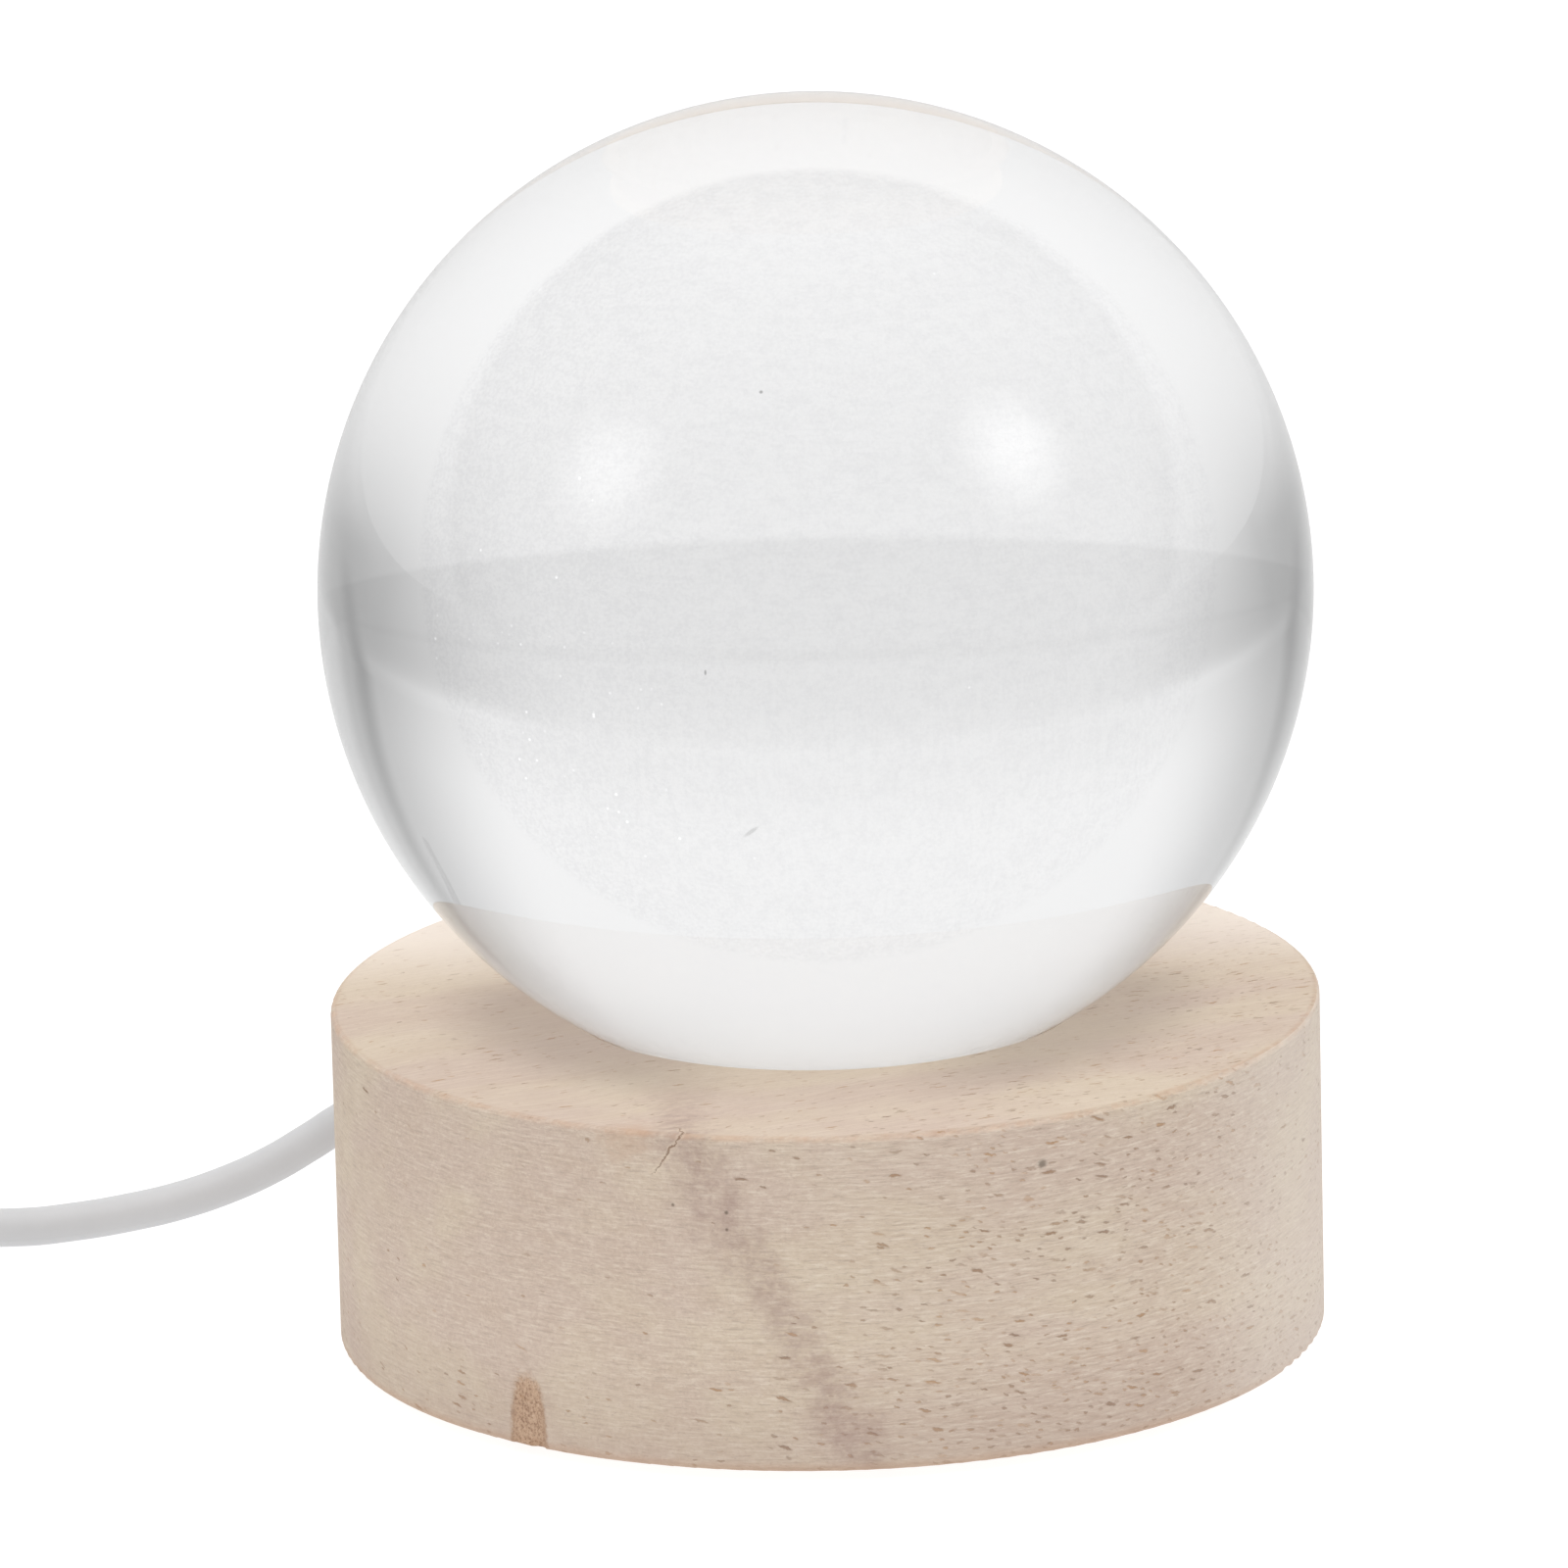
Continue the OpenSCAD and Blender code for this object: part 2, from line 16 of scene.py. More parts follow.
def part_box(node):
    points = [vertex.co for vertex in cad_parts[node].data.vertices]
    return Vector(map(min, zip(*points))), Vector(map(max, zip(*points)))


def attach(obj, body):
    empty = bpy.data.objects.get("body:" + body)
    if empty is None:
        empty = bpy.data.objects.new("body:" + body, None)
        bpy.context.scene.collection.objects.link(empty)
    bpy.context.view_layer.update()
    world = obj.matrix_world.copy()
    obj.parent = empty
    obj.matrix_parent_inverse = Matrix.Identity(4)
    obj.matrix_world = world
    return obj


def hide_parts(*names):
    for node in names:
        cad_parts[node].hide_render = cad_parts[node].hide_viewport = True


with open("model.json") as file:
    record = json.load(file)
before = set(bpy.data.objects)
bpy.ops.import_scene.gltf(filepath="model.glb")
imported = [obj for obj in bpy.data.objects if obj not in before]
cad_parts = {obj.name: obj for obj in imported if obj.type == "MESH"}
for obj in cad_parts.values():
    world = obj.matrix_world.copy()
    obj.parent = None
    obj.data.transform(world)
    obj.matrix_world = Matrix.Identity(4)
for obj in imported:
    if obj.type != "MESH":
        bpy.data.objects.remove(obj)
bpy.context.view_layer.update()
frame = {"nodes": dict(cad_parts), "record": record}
nodes = frame["nodes"]
scene = bpy.context.scene
MM = 0.001

# %% [markdown]
# ## The camera
# A long lens from more than a metre away keeps the outlines calm: the ball stays round and the base
# shows a thin ellipse of its top. The camera looks down by about 15 degrees and leans by little
# more than one degree. Aiming it with a track quaternion and then adding the lean as a turn about
# its own axis is easier to read than three mixed angles.

# %% Camera
CAMERA_PLACE = Vector((7.5, -1196.5, 380.1)) * MM
CAMERA_TARGET = Vector((-2.9, 0, 46.1)) * MM
CAMERA_LEAN = math.radians(-1.38)

lens = bpy.data.cameras.new("lens")
lens.lens = 353.96
lens.sensor_width = 36
camera = bpy.data.objects.new("camera", lens)
scene.collection.objects.link(camera)
aim = (CAMERA_TARGET - CAMERA_PLACE).to_track_quat("-Z", "Y")
camera.matrix_world = (
    Matrix.Translation(CAMERA_PLACE)
    @ aim.to_matrix().to_4x4()
    @ Matrix.Rotation(CAMERA_LEAN, 4, "Z")
)
scene.camera = camera
print("camera distance", round((CAMERA_TARGET - CAMERA_PLACE).length, 3), "m")

# %% [markdown]
# ## The lead's routes
# The lead is a limp two-core cord, 3.2 mm thick. It leaves the base at the back left, sinks to the
# table under its own weight and runs to an inline switch. Behind the switch it turns to a neat tied
# coil, which puts the spare length away, and from the top of the coil it comes down to the plug.
# A curve through a few given points bends as a real cord does, so the route is a list of
# points: X, Y and the height of the cord's underside, in millimetres.

# %% Route points
CORD_D = 3.2
LEAD_ROUTE = [
    (-33.7, 28.3, 9.9), (-36.7, 30.2, 9.4), (-40, 31.3, 7.8), (-43.3, 31.9, 5.6),
    (-46.5, 32, 3.7), (-50, 31.7, 2.2), (-54.4, 30.8, 1), (-58.5, 29.8, 0.4),
    (-63, 28.5, 0.1), (-67.5, 27.6, 0), (-71.5, 27.1, 0.4), (-75.2, 27, 1.7),
    (-79, 27, 3),
]
RUN_ROUTE = [
    (-125, 27, 3), (-128.8, 27, 2.5), (-132.6, 26.2, 1.6), (-136.2, 24.2, 0.9),
    (-139.3, 21.1, 0.6), (-141.6, 17, 0.5), (-142.8, 12, 0.5), (-143, 6, 0.5),
    (-143, 0, 0.5), (-143, -6, 0.5),
]
TAIL_ROUTE = [
    (-116.3, -34.7, 10), (-110.6, -36.2, 9.2), (-104.8, -37, 7.9), (-99, -37.2, 6.5),
    (-93, -36.9, 5.1), (-87.3, -35.7, 3.9), (-82.5, -32.5, 3), (-79.2, -27.6, 2.5),
    (-78, -20, 2.4),
]

# %% [markdown]
# ## Winding the coil
# The coil has three turns side by side and four layers. Each turn lies in its own slot, and over a
# short stretch it steps across to the next one. That step moves a little further round with every
# turn, as on a coil wound by hand, so the steps don't pile up in one place.

# %% The coil's path
COIL_CENTRE = (-121.75, -12)
COIL_MEAN_R = 18
COIL_TURNS = 11.25
CORD_PITCH = CORD_D + 0.05
TIE_T = 0.5
POINTS_A_TURN = 24


def coil_slot(turn):
    """Radius and underside of a turn, counted from the outermost turn on the table."""
    layer, step = divmod(turn, 3)
    column = 2 - step if layer % 2 == 0 else step
    return COIL_MEAN_R + (column - 1) * CORD_PITCH, TIE_T + layer * CORD_PITCH


def coil_point(angle):
    turn, local = divmod(angle, 360)
    step_start = 100 + (10 - turn) * 17
    share = min(max((local - step_start) / 60, 0), 1)
    share = (1 - math.cos(math.pi * share)) / 2
    (r0, z0), (r1, z1) = coil_slot(int(turn)), coil_slot(int(turn) + 1)
    r, z = r0 + (r1 - r0) * share, z0 + (z1 - z0) * share
    a = math.radians(180 + angle)
    return COIL_CENTRE[0] + r * math.cos(a), COIL_CENTRE[1] + r * math.sin(a), z


coil_count = int(COIL_TURNS * POINTS_A_TURN)
COIL_ROUTE = [coil_point(i * 360 / POINTS_A_TURN) for i in range(coil_count + 1)]
print("coil points", len(COIL_ROUTE))

# %% [markdown]
# ## From points to cord
# A Bezier curve with automatic handles passes smoothly through every point, and a bevel gives it a
# round section. The first and the last handle are given their own directions, so that the cord
# leaves its bush and enters the plug straight. The finished curve is then turned into a mesh,
# because the box of a curve is wider than the cord it draws. Evaluated with no bevel, the same
# curve is the centreline.

# %% Make the cords
def centre_points(route):
    return [Vector((x, y, z + CORD_D / 2)) * MM for x, y, z in route]


def line_length(points):
    return sum((b - a).length for a, b in zip(points, points[1:]))


def cord_curve(name, points, first, last):
    curve = bpy.data.curves.new(name, "CURVE")
    curve.dimensions = "3D"
    curve.bevel_resolution = 6
    curve.resolution_u = 8
    curve.use_fill_caps = True
    spline = curve.splines.new("BEZIER")
    spline.bezier_points.add(len(points) - 1)
    for knot, point in zip(spline.bezier_points, points):
        knot.co = point
        knot.handle_left_type = knot.handle_right_type = "AUTO"
    for knot, way, other in (
        (spline.bezier_points[0], Vector(first), points[1]),
        (spline.bezier_points[-1], Vector(last), points[-2]),
    ):
        reach = (other - knot.co).length / 3
        knot.handle_left_type = knot.handle_right_type = "FREE"
        knot.handle_left = knot.co - way.normalized() * reach
        knot.handle_right = knot.co + way.normalized() * reach
    return curve


def curve_mesh(curve, bevel):
    """The mesh that a curve draws with this bevel; with none it is the bare line."""
    curve.bevel_depth = bevel
    drawn_curve = bpy.data.objects.new(curve.name, curve)
    scene.collection.objects.link(drawn_curve)
    seen_now = drawn_curve.evaluated_get(bpy.context.evaluated_depsgraph_get())
    mesh = bpy.data.meshes.new_from_object(seen_now)
    bpy.data.objects.remove(drawn_curve)
    return mesh


def make_cord(name, points, first, last):
    curve = cord_curve(name, points, first, last)
    path = [v.co.copy() for v in curve_mesh(curve, 0).vertices]
    mesh = curve_mesh(curve, CORD_D / 2 * MM)
    mesh.polygons.foreach_set("use_smooth", [True] * len(mesh.polygons))
    cord = bpy.data.objects.new(name, mesh)
    scene.collection.objects.link(cord)
    return cord, path


EXIT_AZ = math.radians(140)
lead_points = centre_points(LEAD_ROUTE)
coil_points = centre_points(RUN_ROUTE + COIL_ROUTE + TAIL_ROUTE)
exit_way = (math.cos(EXIT_AZ), math.sin(EXIT_AZ), 0)
lead, lead_path = make_cord("lead_to_switch", lead_points, exit_way, (-1, 0, 0))
long_lead, long_path = make_cord("lead_to_plug", coil_points, (-1, 0, 0), (0, 1, 0))
print("lead to switch", round(line_length(lead_path), 4), "m")
print("lead to plug", round(line_length(long_path), 4), "m")

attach(lead, "base")
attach(long_lead, "base")
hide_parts("cord_lead")
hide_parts("cord_run", "cord_coil", "cord_tail")

# %% [markdown]
# ## Small helpers for node trees
# A finish is easier to read when each line says what a node does and what feeds it. `put` adds a
# node, and a value given to it is either a constant or another node's output. `calc`, `step` and
# `mixed` are short ways to write the nodes used most.

# %% Node helpers
def put(tree, kind, inputs=None, **settings):
    made = tree.nodes.new("ShaderNode" + kind)
    for name, value in settings.items():
        setattr(made, name, value)
    for socket, value in (inputs or {}).items():
        feed(tree, made.inputs[socket], value)
    return made


def feed(tree, socket, value):
    if isinstance(value, bpy.types.NodeSocket):
        tree.links.new(value, socket)
    else:
        socket.default_value = value


def calc(tree, operation, *values, clamp=False):
    made = put(tree, "Math", dict(enumerate(values)), operation=operation, use_clamp=clamp)
    return made.outputs[0]


def step(tree, value, low, high, to_low=0.0, to_high=1.0):
    """A smooth step of value from low to high."""
    made = put(
        tree,
        "MapRange",
        {"Value": value, "From Min": low, "From Max": high, "To Min": to_low, "To Max": to_high},
        interpolation_type="SMOOTHSTEP",
    )
    return made.outputs["Result"]


def mixed(tree, share, first, second, blend_type="MIX"):
    made = tree.nodes.new("ShaderNodeMix")
    made.data_type = "RGBA"
    made.blend_type = blend_type
    for index, value in ((0, share), (6, first), (7, second)):
        feed(tree, made.inputs[index], value)
    return made.outputs[2]


def between(tree, share, first, second):
    """The same for two plain numbers."""
    return put(tree, "Mix", {0: share, 2: first, 3: second}).outputs[0]


def rgb(red, green, blue):
    return (red, green, blue, 1.0)


def noise(tree, place, scale, detail=2.0, roughness=0.5):
    made = put(
        tree,
        "TexNoise",
        {"Vector": place, "Scale": scale, "Detail": detail, "Roughness": roughness},
    )
    return made.outputs[0]


def stretched(tree, place, scale, turn=(0, 0, 0), shift=(0, 0, 0)):
    values = {"Vector": place, "Scale": scale, "Rotation": turn, "Location": shift}
    return put(tree, "Mapping", values).outputs[0]


def in_mm(tree):
    """The piece's own coordinates, in millimetres."""
    place = put(tree, "TexCoord").outputs["Object"]
    scaled = put(tree, "VectorMath", {0: place, "Scale": 1000.0}, operation="SCALE")
    return scaled.outputs[0]


def finish(name, **constants):
    """A new material with constants on its shader's own sockets."""
    material = bpy.data.materials.new(name)
    material.use_nodes = True
    tree = material.node_tree
    surface = tree.nodes["Principled BSDF"]
    for socket, value in constants.items():
        surface.inputs[socket.replace("_", " ")].default_value = value
    return material, tree, surface


def bump(tree, height, depth_mm, strength=1.0):
    made = put(tree, "Bump", {"Height": height, "Distance": depth_mm * MM, "Strength": strength})
    return made.outputs[0]


def wear(material, *names):
    for name in names:
        slots = nodes[name].data.materials
        slots.clear()
        slots.append(material)


# %% [markdown]
# ## Effects that several finishes share
# Moulded plastic is never one flat colour. It has a fine skin from the tool it was pressed in,
# slow changes in tone from the way it cooled, and a little dirt. The same three things serve the
# cord, the switch, the plug, the feet and the board, so they are one node group with named inputs.

# %% Moulded skin group
def new_group(name, inputs, outputs):
    group = bpy.data.node_groups.new(name, "ShaderNodeTree")
    for label, value in inputs.items():
        kind = {tuple: "NodeSocketColor", float: "NodeSocketFloat"}[type(value)]
        socket = group.interface.new_socket(label, in_out="INPUT", socket_type=kind)
        socket.default_value = value
    for label, kind in outputs.items():
        group.interface.new_socket(label, in_out="OUTPUT", socket_type="NodeSocket" + kind)
    given = group.nodes.new("NodeGroupInput").outputs
    out = group.nodes.new("NodeGroupOutput").inputs
    return group, given, out


skin_group, given, out = new_group(
    "moulded skin",
    {
        "Colour": rgb(0.8, 0.8, 0.8),
        "Soiled Colour": rgb(0.6, 0.58, 0.55),
        "Grain Size": 0.25,
        "Soil": 0.2,
        "Smooth": 0.4,
        "Rough": 0.55,
    },
    {"Colour": "Color", "Roughness": "Float", "Height": "Float"},
)
place = in_mm(skin_group)
grain_scale = calc(skin_group, "DIVIDE", 1.0, given["Grain Size"])
grain = noise(skin_group, place, grain_scale, 3.0)
cloud = noise(skin_group, place, 0.13, 2.0)
soil = calc(skin_group, "MULTIPLY", step(skin_group, cloud, 0.35, 0.75), given["Soil"])
soil_grain = calc(skin_group, "MULTIPLY_ADD", grain, 0.12, soil)
rise = calc(skin_group, "SUBTRACT", given["Rough"], given["Smooth"])
level = calc(skin_group, "MULTIPLY_ADD", rise, grain, given["Smooth"])
tone = mixed(skin_group, soil_grain, given["Colour"], given["Soiled Colour"])
feed(skin_group, out["Colour"], tone)
feed(skin_group, out["Roughness"], level)
feed(skin_group, out["Height"], grain)


def moulded(name, colour, soiled, size=0.25, soil=0.2, smooth=0.4, rough=0.55, depth=0.01, **more):
    material, tree, surface = finish(name, **more)
    skin = tree.nodes.new("ShaderNodeGroup")
    skin.node_tree = skin_group
    settings = (colour, soiled, size, soil, smooth, rough)
    for socket, value in zip(skin.inputs, settings):
        socket.default_value = value
    tree.links.new(skin.outputs["Colour"], surface.inputs["Base Color"])
    tree.links.new(skin.outputs["Roughness"], surface.inputs["Roughness"])
    tree.links.new(bump(tree, skin.outputs["Height"], depth), surface.inputs["Normal"])
    return material


# %% Plastic and rubber finishes
# After the two colours come the grain's size in mm, how soiled it is, and its smoothest and
# roughest places; the rubber adds a deeper skin.
cord_skin = moulded(
    "cord_skin", rgb(0.66, 0.66, 0.67), rgb(0.56, 0.56, 0.56), 0.35, 0.25, 0.5, 0.64
)
switch_skin = moulded(
    "switch_skin", rgb(0.72, 0.72, 0.71), rgb(0.6, 0.59, 0.56), 0.16, 0.25, 0.42, 0.6
)
rocker_skin = moulded(
    "rocker_skin", rgb(0.76, 0.76, 0.75), rgb(0.6, 0.58, 0.54), 0.3, 0.3, 0.28, 0.42
)
plug_skin = moulded(
    "plug_skin", rgb(0.7, 0.7, 0.69), rgb(0.58, 0.57, 0.54), 0.2, 0.25, 0.4, 0.58
)
insulator = moulded(
    "insulator", rgb(0.8, 0.8, 0.78), rgb(0.68, 0.67, 0.62), 0.12, 0.2, 0.3, 0.45
)
rubber = moulded(
    "foot_rubber", rgb(0.6, 0.6, 0.6), rgb(0.42, 0.4, 0.37), 0.18, 0.7, 0.72, 0.9, 0.02
)
nylon = moulded(
    "nylon", rgb(0.72, 0.71, 0.66), rgb(0.6, 0.57, 0.5), 0.4, 0.2, 0.3, 0.45
)
tie_skin = moulded(
    "tie_skin", rgb(0.58, 0.58, 0.58), rgb(0.45, 0.45, 0.44), 0.3, 0.3, 0.35, 0.5
)
opal = moulded(
    "opal_disc", rgb(0.84, 0.84, 0.84), rgb(0.76, 0.76, 0.74), 0.6, 0.15, 0.5, 0.62
)
lamp_case = moulded(
    "lamp_case", rgb(0.82, 0.82, 0.8), rgb(0.7, 0.7, 0.66), 0.1, 0.1, 0.3, 0.4
)
black_chip = moulded(
    "black_chip", rgb(0.02, 0.02, 0.022), rgb(0.06, 0.06, 0.06), 0.08, 0.4, 0.35, 0.6
)
phosphor = moulded(
    "phosphor", rgb(0.84, 0.62, 0.1), rgb(0.7, 0.48, 0.06), 0.06, 0.5, 0.35, 0.5
)
red_core = moulded(
    "red_core", rgb(0.42, 0.02, 0.015), rgb(0.3, 0.02, 0.015), 0.2, 0.3, 0.3, 0.45
)
black_core = moulded(
    "black_core", rgb(0.015, 0.015, 0.017), rgb(0.04, 0.04, 0.04), 0.2, 0.3, 0.3, 0.45
)

for cord in (lead, long_lead):
    cord.data.materials.append(cord_skin)
wear(cord_skin, "inner_cord", "strain_relief", "switch_reliefs", "switch_cord_ends")
wear(switch_skin, "switch_lower_shell", "switch_upper_shell")
wear(rocker_skin, "switch_rocker")
wear(plug_skin, "plug_body")
wear(insulator, "plug_insulator")
wear(rubber, "feet")
wear(nylon, "inner_cable_tie")
wear(tie_skin, "coil_tie")
wear(opal, "diffuser_disc")
wear(lamp_case, "led_packages")
wear(black_chip, "chip_resistors")
wear(phosphor, "led_phosphors")
wear(red_core, "wire_positive")
wear(black_core, "wire_negative", "switch_wires")

# %% [markdown]
# ## Metal
# Plated steel, stamped brass and solder differ in colour and in how far their marks run. Fine
# lines along one direction come from rolling or drawing, so the pattern is a noise that is
# stretched a long way in X. The lines change the roughness more than the colour.

# %% Drawn metal group
metal_group, given, out = new_group(
    "drawn metal",
    {
        "Colour": rgb(0.6, 0.6, 0.6),
        "Dull Colour": rgb(0.4, 0.4, 0.4),
        "Dull": 0.3,
        "Smooth": 0.2,
        "Rough": 0.4,
    },
    {"Colour": "Color", "Roughness": "Float", "Height": "Float"},
)
place = in_mm(metal_group)
lines = noise(metal_group, stretched(metal_group, place, (0.5, 9, 9)), 1.6, 4.0, 0.6)
stains = step(metal_group, noise(metal_group, place, 0.6, 3.0), 0.42, 0.72)
dulled = calc(metal_group, "MULTIPLY", stains, given["Dull"])
rise = calc(metal_group, "SUBTRACT", given["Rough"], given["Smooth"])
level = calc(metal_group, "MULTIPLY_ADD", rise, lines, given["Smooth"])
feed(metal_group, out["Colour"], mixed(metal_group, dulled, given["Colour"], given["Dull Colour"]))
feed(metal_group, out["Roughness"], calc(metal_group, "MULTIPLY_ADD", dulled, 0.3, level))
feed(metal_group, out["Height"], lines)


def drawn(name, colour, dull_colour, dull, smooth, rough, depth=0.004):
    material, tree, surface = finish(name, Metallic=1.0)
    metal = tree.nodes.new("ShaderNodeGroup")
    metal.node_tree = metal_group
    for socket, value in zip(metal.inputs, (colour, dull_colour, dull, smooth, rough)):
        socket.default_value = value
    tree.links.new(metal.outputs["Colour"], surface.inputs["Base Color"])
    tree.links.new(metal.outputs["Roughness"], surface.inputs["Roughness"])
    tree.links.new(bump(tree, metal.outputs["Height"], depth), surface.inputs["Normal"])
    return material


# %% Metal finishes
steel = drawn("zinc_steel", rgb(0.56, 0.57, 0.58), rgb(0.36, 0.36, 0.36), 0.5, 0.28, 0.48)
plug_metal = drawn("nickel_shell", rgb(0.66, 0.66, 0.67), rgb(0.46, 0.45, 0.43), 0.35, 0.16, 0.36)
brass = drawn("stamped_brass", rgb(0.78, 0.56, 0.24), rgb(0.45, 0.3, 0.14), 0.5, 0.22, 0.42)
gold = drawn("gold_flash", rgb(0.9, 0.66, 0.28), rgb(0.6, 0.42, 0.18), 0.25, 0.12, 0.26)
solder = drawn("solder", rgb(0.7, 0.7, 0.72), rgb(0.45, 0.45, 0.46), 0.5, 0.15, 0.38, 0.02)
wear(steel, "board_screws", "switch_screws", "rocker_pin")
wear(plug_metal, "plug_shell")
wear(brass, "contact_blade", "switch_terminals")
wear(gold, "plug_contacts")
wear(solder, "solder_joints")

# %% [markdown]
# ## The light board
# A light board has a white solder mask over copper tracks. Where a track runs under the mask it
# stands a little proud, and the mask over it looks a trace darker. Rings round the middle are the
# natural tracks of a ring of lamps, so the pattern comes from the distance to the centre.

# %% Light board finish
board_mask, tree, surface = finish("board_mask", IOR=1.5)
place = in_mm(tree)
parts = put(tree, "SeparateXYZ", {0: place}).outputs
radius = calc(tree, "SQRT", calc(tree, "ADD", calc(tree, "POWER", parts[0], 2.0),
                                 calc(tree, "POWER", parts[1], 2.0)))
tracks = calc(tree, "PINGPONG", calc(tree, "ADD", radius, 0.4), 1.3)
track = step(tree, tracks, 0.45, 0.6)
fleck = noise(tree, place, 5.0, 3.0)
tone = mixed(tree, track, rgb(0.82, 0.83, 0.82), rgb(0.72, 0.75, 0.72))
feed(tree, surface.inputs["Base Color"], mixed(tree, 0.08, tone, put(
    tree, "CombineColor", {0: fleck, 1: fleck, 2: fleck}).outputs[0], "MULTIPLY"))
feed(tree, surface.inputs["Roughness"], step(tree, fleck, 0.2, 0.8, 0.3, 0.46))
feed(tree, surface.inputs["Normal"], bump(tree, track, 0.03))
wear(board_mask, "led_board")

# %% [markdown]
# ## Pale turned wood
# This is a pale, even hardwood. Its fibres lie across the disc from left to right. On the flank
# they show as fine level lines, and the open pores show as short brown dashes that turn to dots
# where the side cuts across the grain. A texture that fills space does this by itself: pores and
# fibres are patterns stretched along the grain, and the turned shape cuts through them.
#
# Broad things come first: slow blotches of pink and yellow, and a darker band where one year's
# growth met the next. Then come the fibres, the pores, and last the marks that belong to this one
# blank: a small knot at the lower edge, a short crack at the rim and a few dark specks.
#
# The flank also gets flat coordinates of its own, the way round it and the height, as if its skin
# were rolled out like veneer.

# %% Wood: grain coordinates
WOOD_LOW, WOOD_HIGH = (corner.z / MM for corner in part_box("wood_base"))
wood, tree, surface = finish("pale_wood", IOR=1.45)
place = in_mm(tree)
parts = put(tree, "SeparateXYZ", {0: place}).outputs
X, Y, Z = parts[0], parts[1], parts[2]


def wobble(tree, place, scale, reach, detail=1.0):
    """Moves coordinates about by up to half of reach, so that nothing runs quite straight."""
    swirl = put(tree, "TexNoise", {"Vector": place, "Scale": scale, "Detail": detail}).outputs[1]
    centred = put(tree, "VectorMath", {0: swirl, 1: (0.5, 0.5, 0.5)}, operation="SUBTRACT")
    shift = put(tree, "VectorMath", {0: centred.outputs[0], "Scale": reach}, operation="SCALE")
    moved = put(tree, "VectorMath", {0: place, 1: shift.outputs[0]}, operation="ADD")
    return moved.outputs[0]


GRAIN_TURN = (0, math.radians(-5), math.radians(-24))
along = stretched(tree, wobble(tree, place, 0.05, 5.0), (1, 1, 1), GRAIN_TURN)
on_top = calc(tree, "GREATER_THAN", Z, WOOD_HIGH - 0.1)
WOOD_R = 40.0
turn_angle = calc(tree, "ARCTAN2", X, calc(tree, "MULTIPLY", Y, -1.0))
flank_place = put(
    tree, "CombineXYZ", {0: calc(tree, "MULTIPLY", turn_angle, WOOD_R), 1: Z}
).outputs[0]

# %% Wood: broad colour
blotch = noise(tree, stretched(tree, along, (0.5, 1.2, 1.6)), 0.08, 3.0)
rings = noise(tree, stretched(tree, along, (0.05, 0.6, 1)), 0.42, 3.0, 0.6)
pale = mixed(tree, step(tree, blotch, 0.38, 0.62), rgb(0.69, 0.57, 0.44), rgb(0.64, 0.505, 0.415))
base_tone = mixed(tree, step(tree, rings, 0.4, 0.72, 0, 0.4), pale, rgb(0.60, 0.46, 0.355))

# %% [markdown]
# ## Fibres and tool lines
# The flank was cut on a lathe, so fine level lines run right round it, lighter and darker than the
# wood. They are a noise on the rolled-out flank, drawn long the way round, and they are left out on
# the flat top. On the top the fibres themselves show, long in the grain's direction.

# %% Wood: fibres
turned = noise(tree, stretched(tree, flank_place, (0.11, 1, 1)), 4.4, 4.0, 0.75)
on_flank = calc(tree, "SUBTRACT", 1.0, on_top)
turned_strong = calc(tree, "MULTIPLY", on_flank, step(tree, X, -30, 10, 0.45, 0.56))
fibre = noise(tree, stretched(tree, along, (0.06, 1, 1)), 3.2, 4.0, 0.68)
fuzz = noise(tree, stretched(tree, along, (0.3, 1, 1)), 5.5, 3.0, 0.72)
toned = mixed(tree, step(tree, fibre, 0.4, 0.68, 0, 0.4), base_tone, rgb(0.80, 0.69, 0.58))
light_lines = calc(tree, "MULTIPLY", step(tree, turned, 0.5, 0.66), turned_strong)
dark_lines = calc(tree, "MULTIPLY", step(tree, turned, 0.48, 0.32), turned_strong)
toned = mixed(tree, light_lines, toned, rgb(0.85, 0.75, 0.63))
toned = mixed(tree, dark_lines, toned, rgb(0.44, 0.34, 0.27))
toned = mixed(tree, step(tree, fuzz, 0.54, 0.72, 0, 0.42), toned, rgb(0.46, 0.34, 0.27))

# %% [markdown]
# ## Pores
# A pore is a thin tube. Each cell of a Voronoi pattern holds one point, and stretching the cells
# along the grain turns a small disc round each point into a dash. The points of a pattern in space
# seldom lie just on the surface, so the pattern is a flat one: it lies on the top as it is, and it
# is rolled round the flank by the way round and the height. Each cell also has a random
# colour, and only cells whose colour passes a threshold keep their pore. A slow noise moves that
# threshold, so the pores gather in some regions and leave others clear. A fine wobble of the
# coordinates frays the outlines.

# %% Wood: pores
PORE_LEAN = math.radians(11)
leaning = stretched(tree, flank_place, (1, 1, 1), (0, 0, PORE_LEAN))
pore_place = put(tree, "Mix", {0: on_top, 4: leaning, 5: along}, data_type="VECTOR").outputs[1]
frayed = wobble(tree, wobble(tree, pore_place, 0.12, 2.2), 2.2, 0.4, 2.0)


def pores(scale, length, size, keep):
    """Where the pores are, and a random number for each that picks its tone."""
    cells = put(
        tree,
        "TexVoronoi",
        {"Vector": stretched(tree, frayed, (1 / length, 1, 1)), "Scale": scale},
        voronoi_dimensions="2D",
    )
    shape = step(tree, cells.outputs["Distance"], size * 0.45, size, 1, 0)
    picks = put(tree, "SeparateColor", {0: cells.outputs["Color"]}).outputs
    kept = calc(tree, "LESS_THAN", picks[0], keep)
    depth = calc(tree, "MULTIPLY", kept, step(tree, picks[1], 0, 1, 0.4, 1))
    return calc(tree, "MULTIPLY", shape, depth), picks[2]


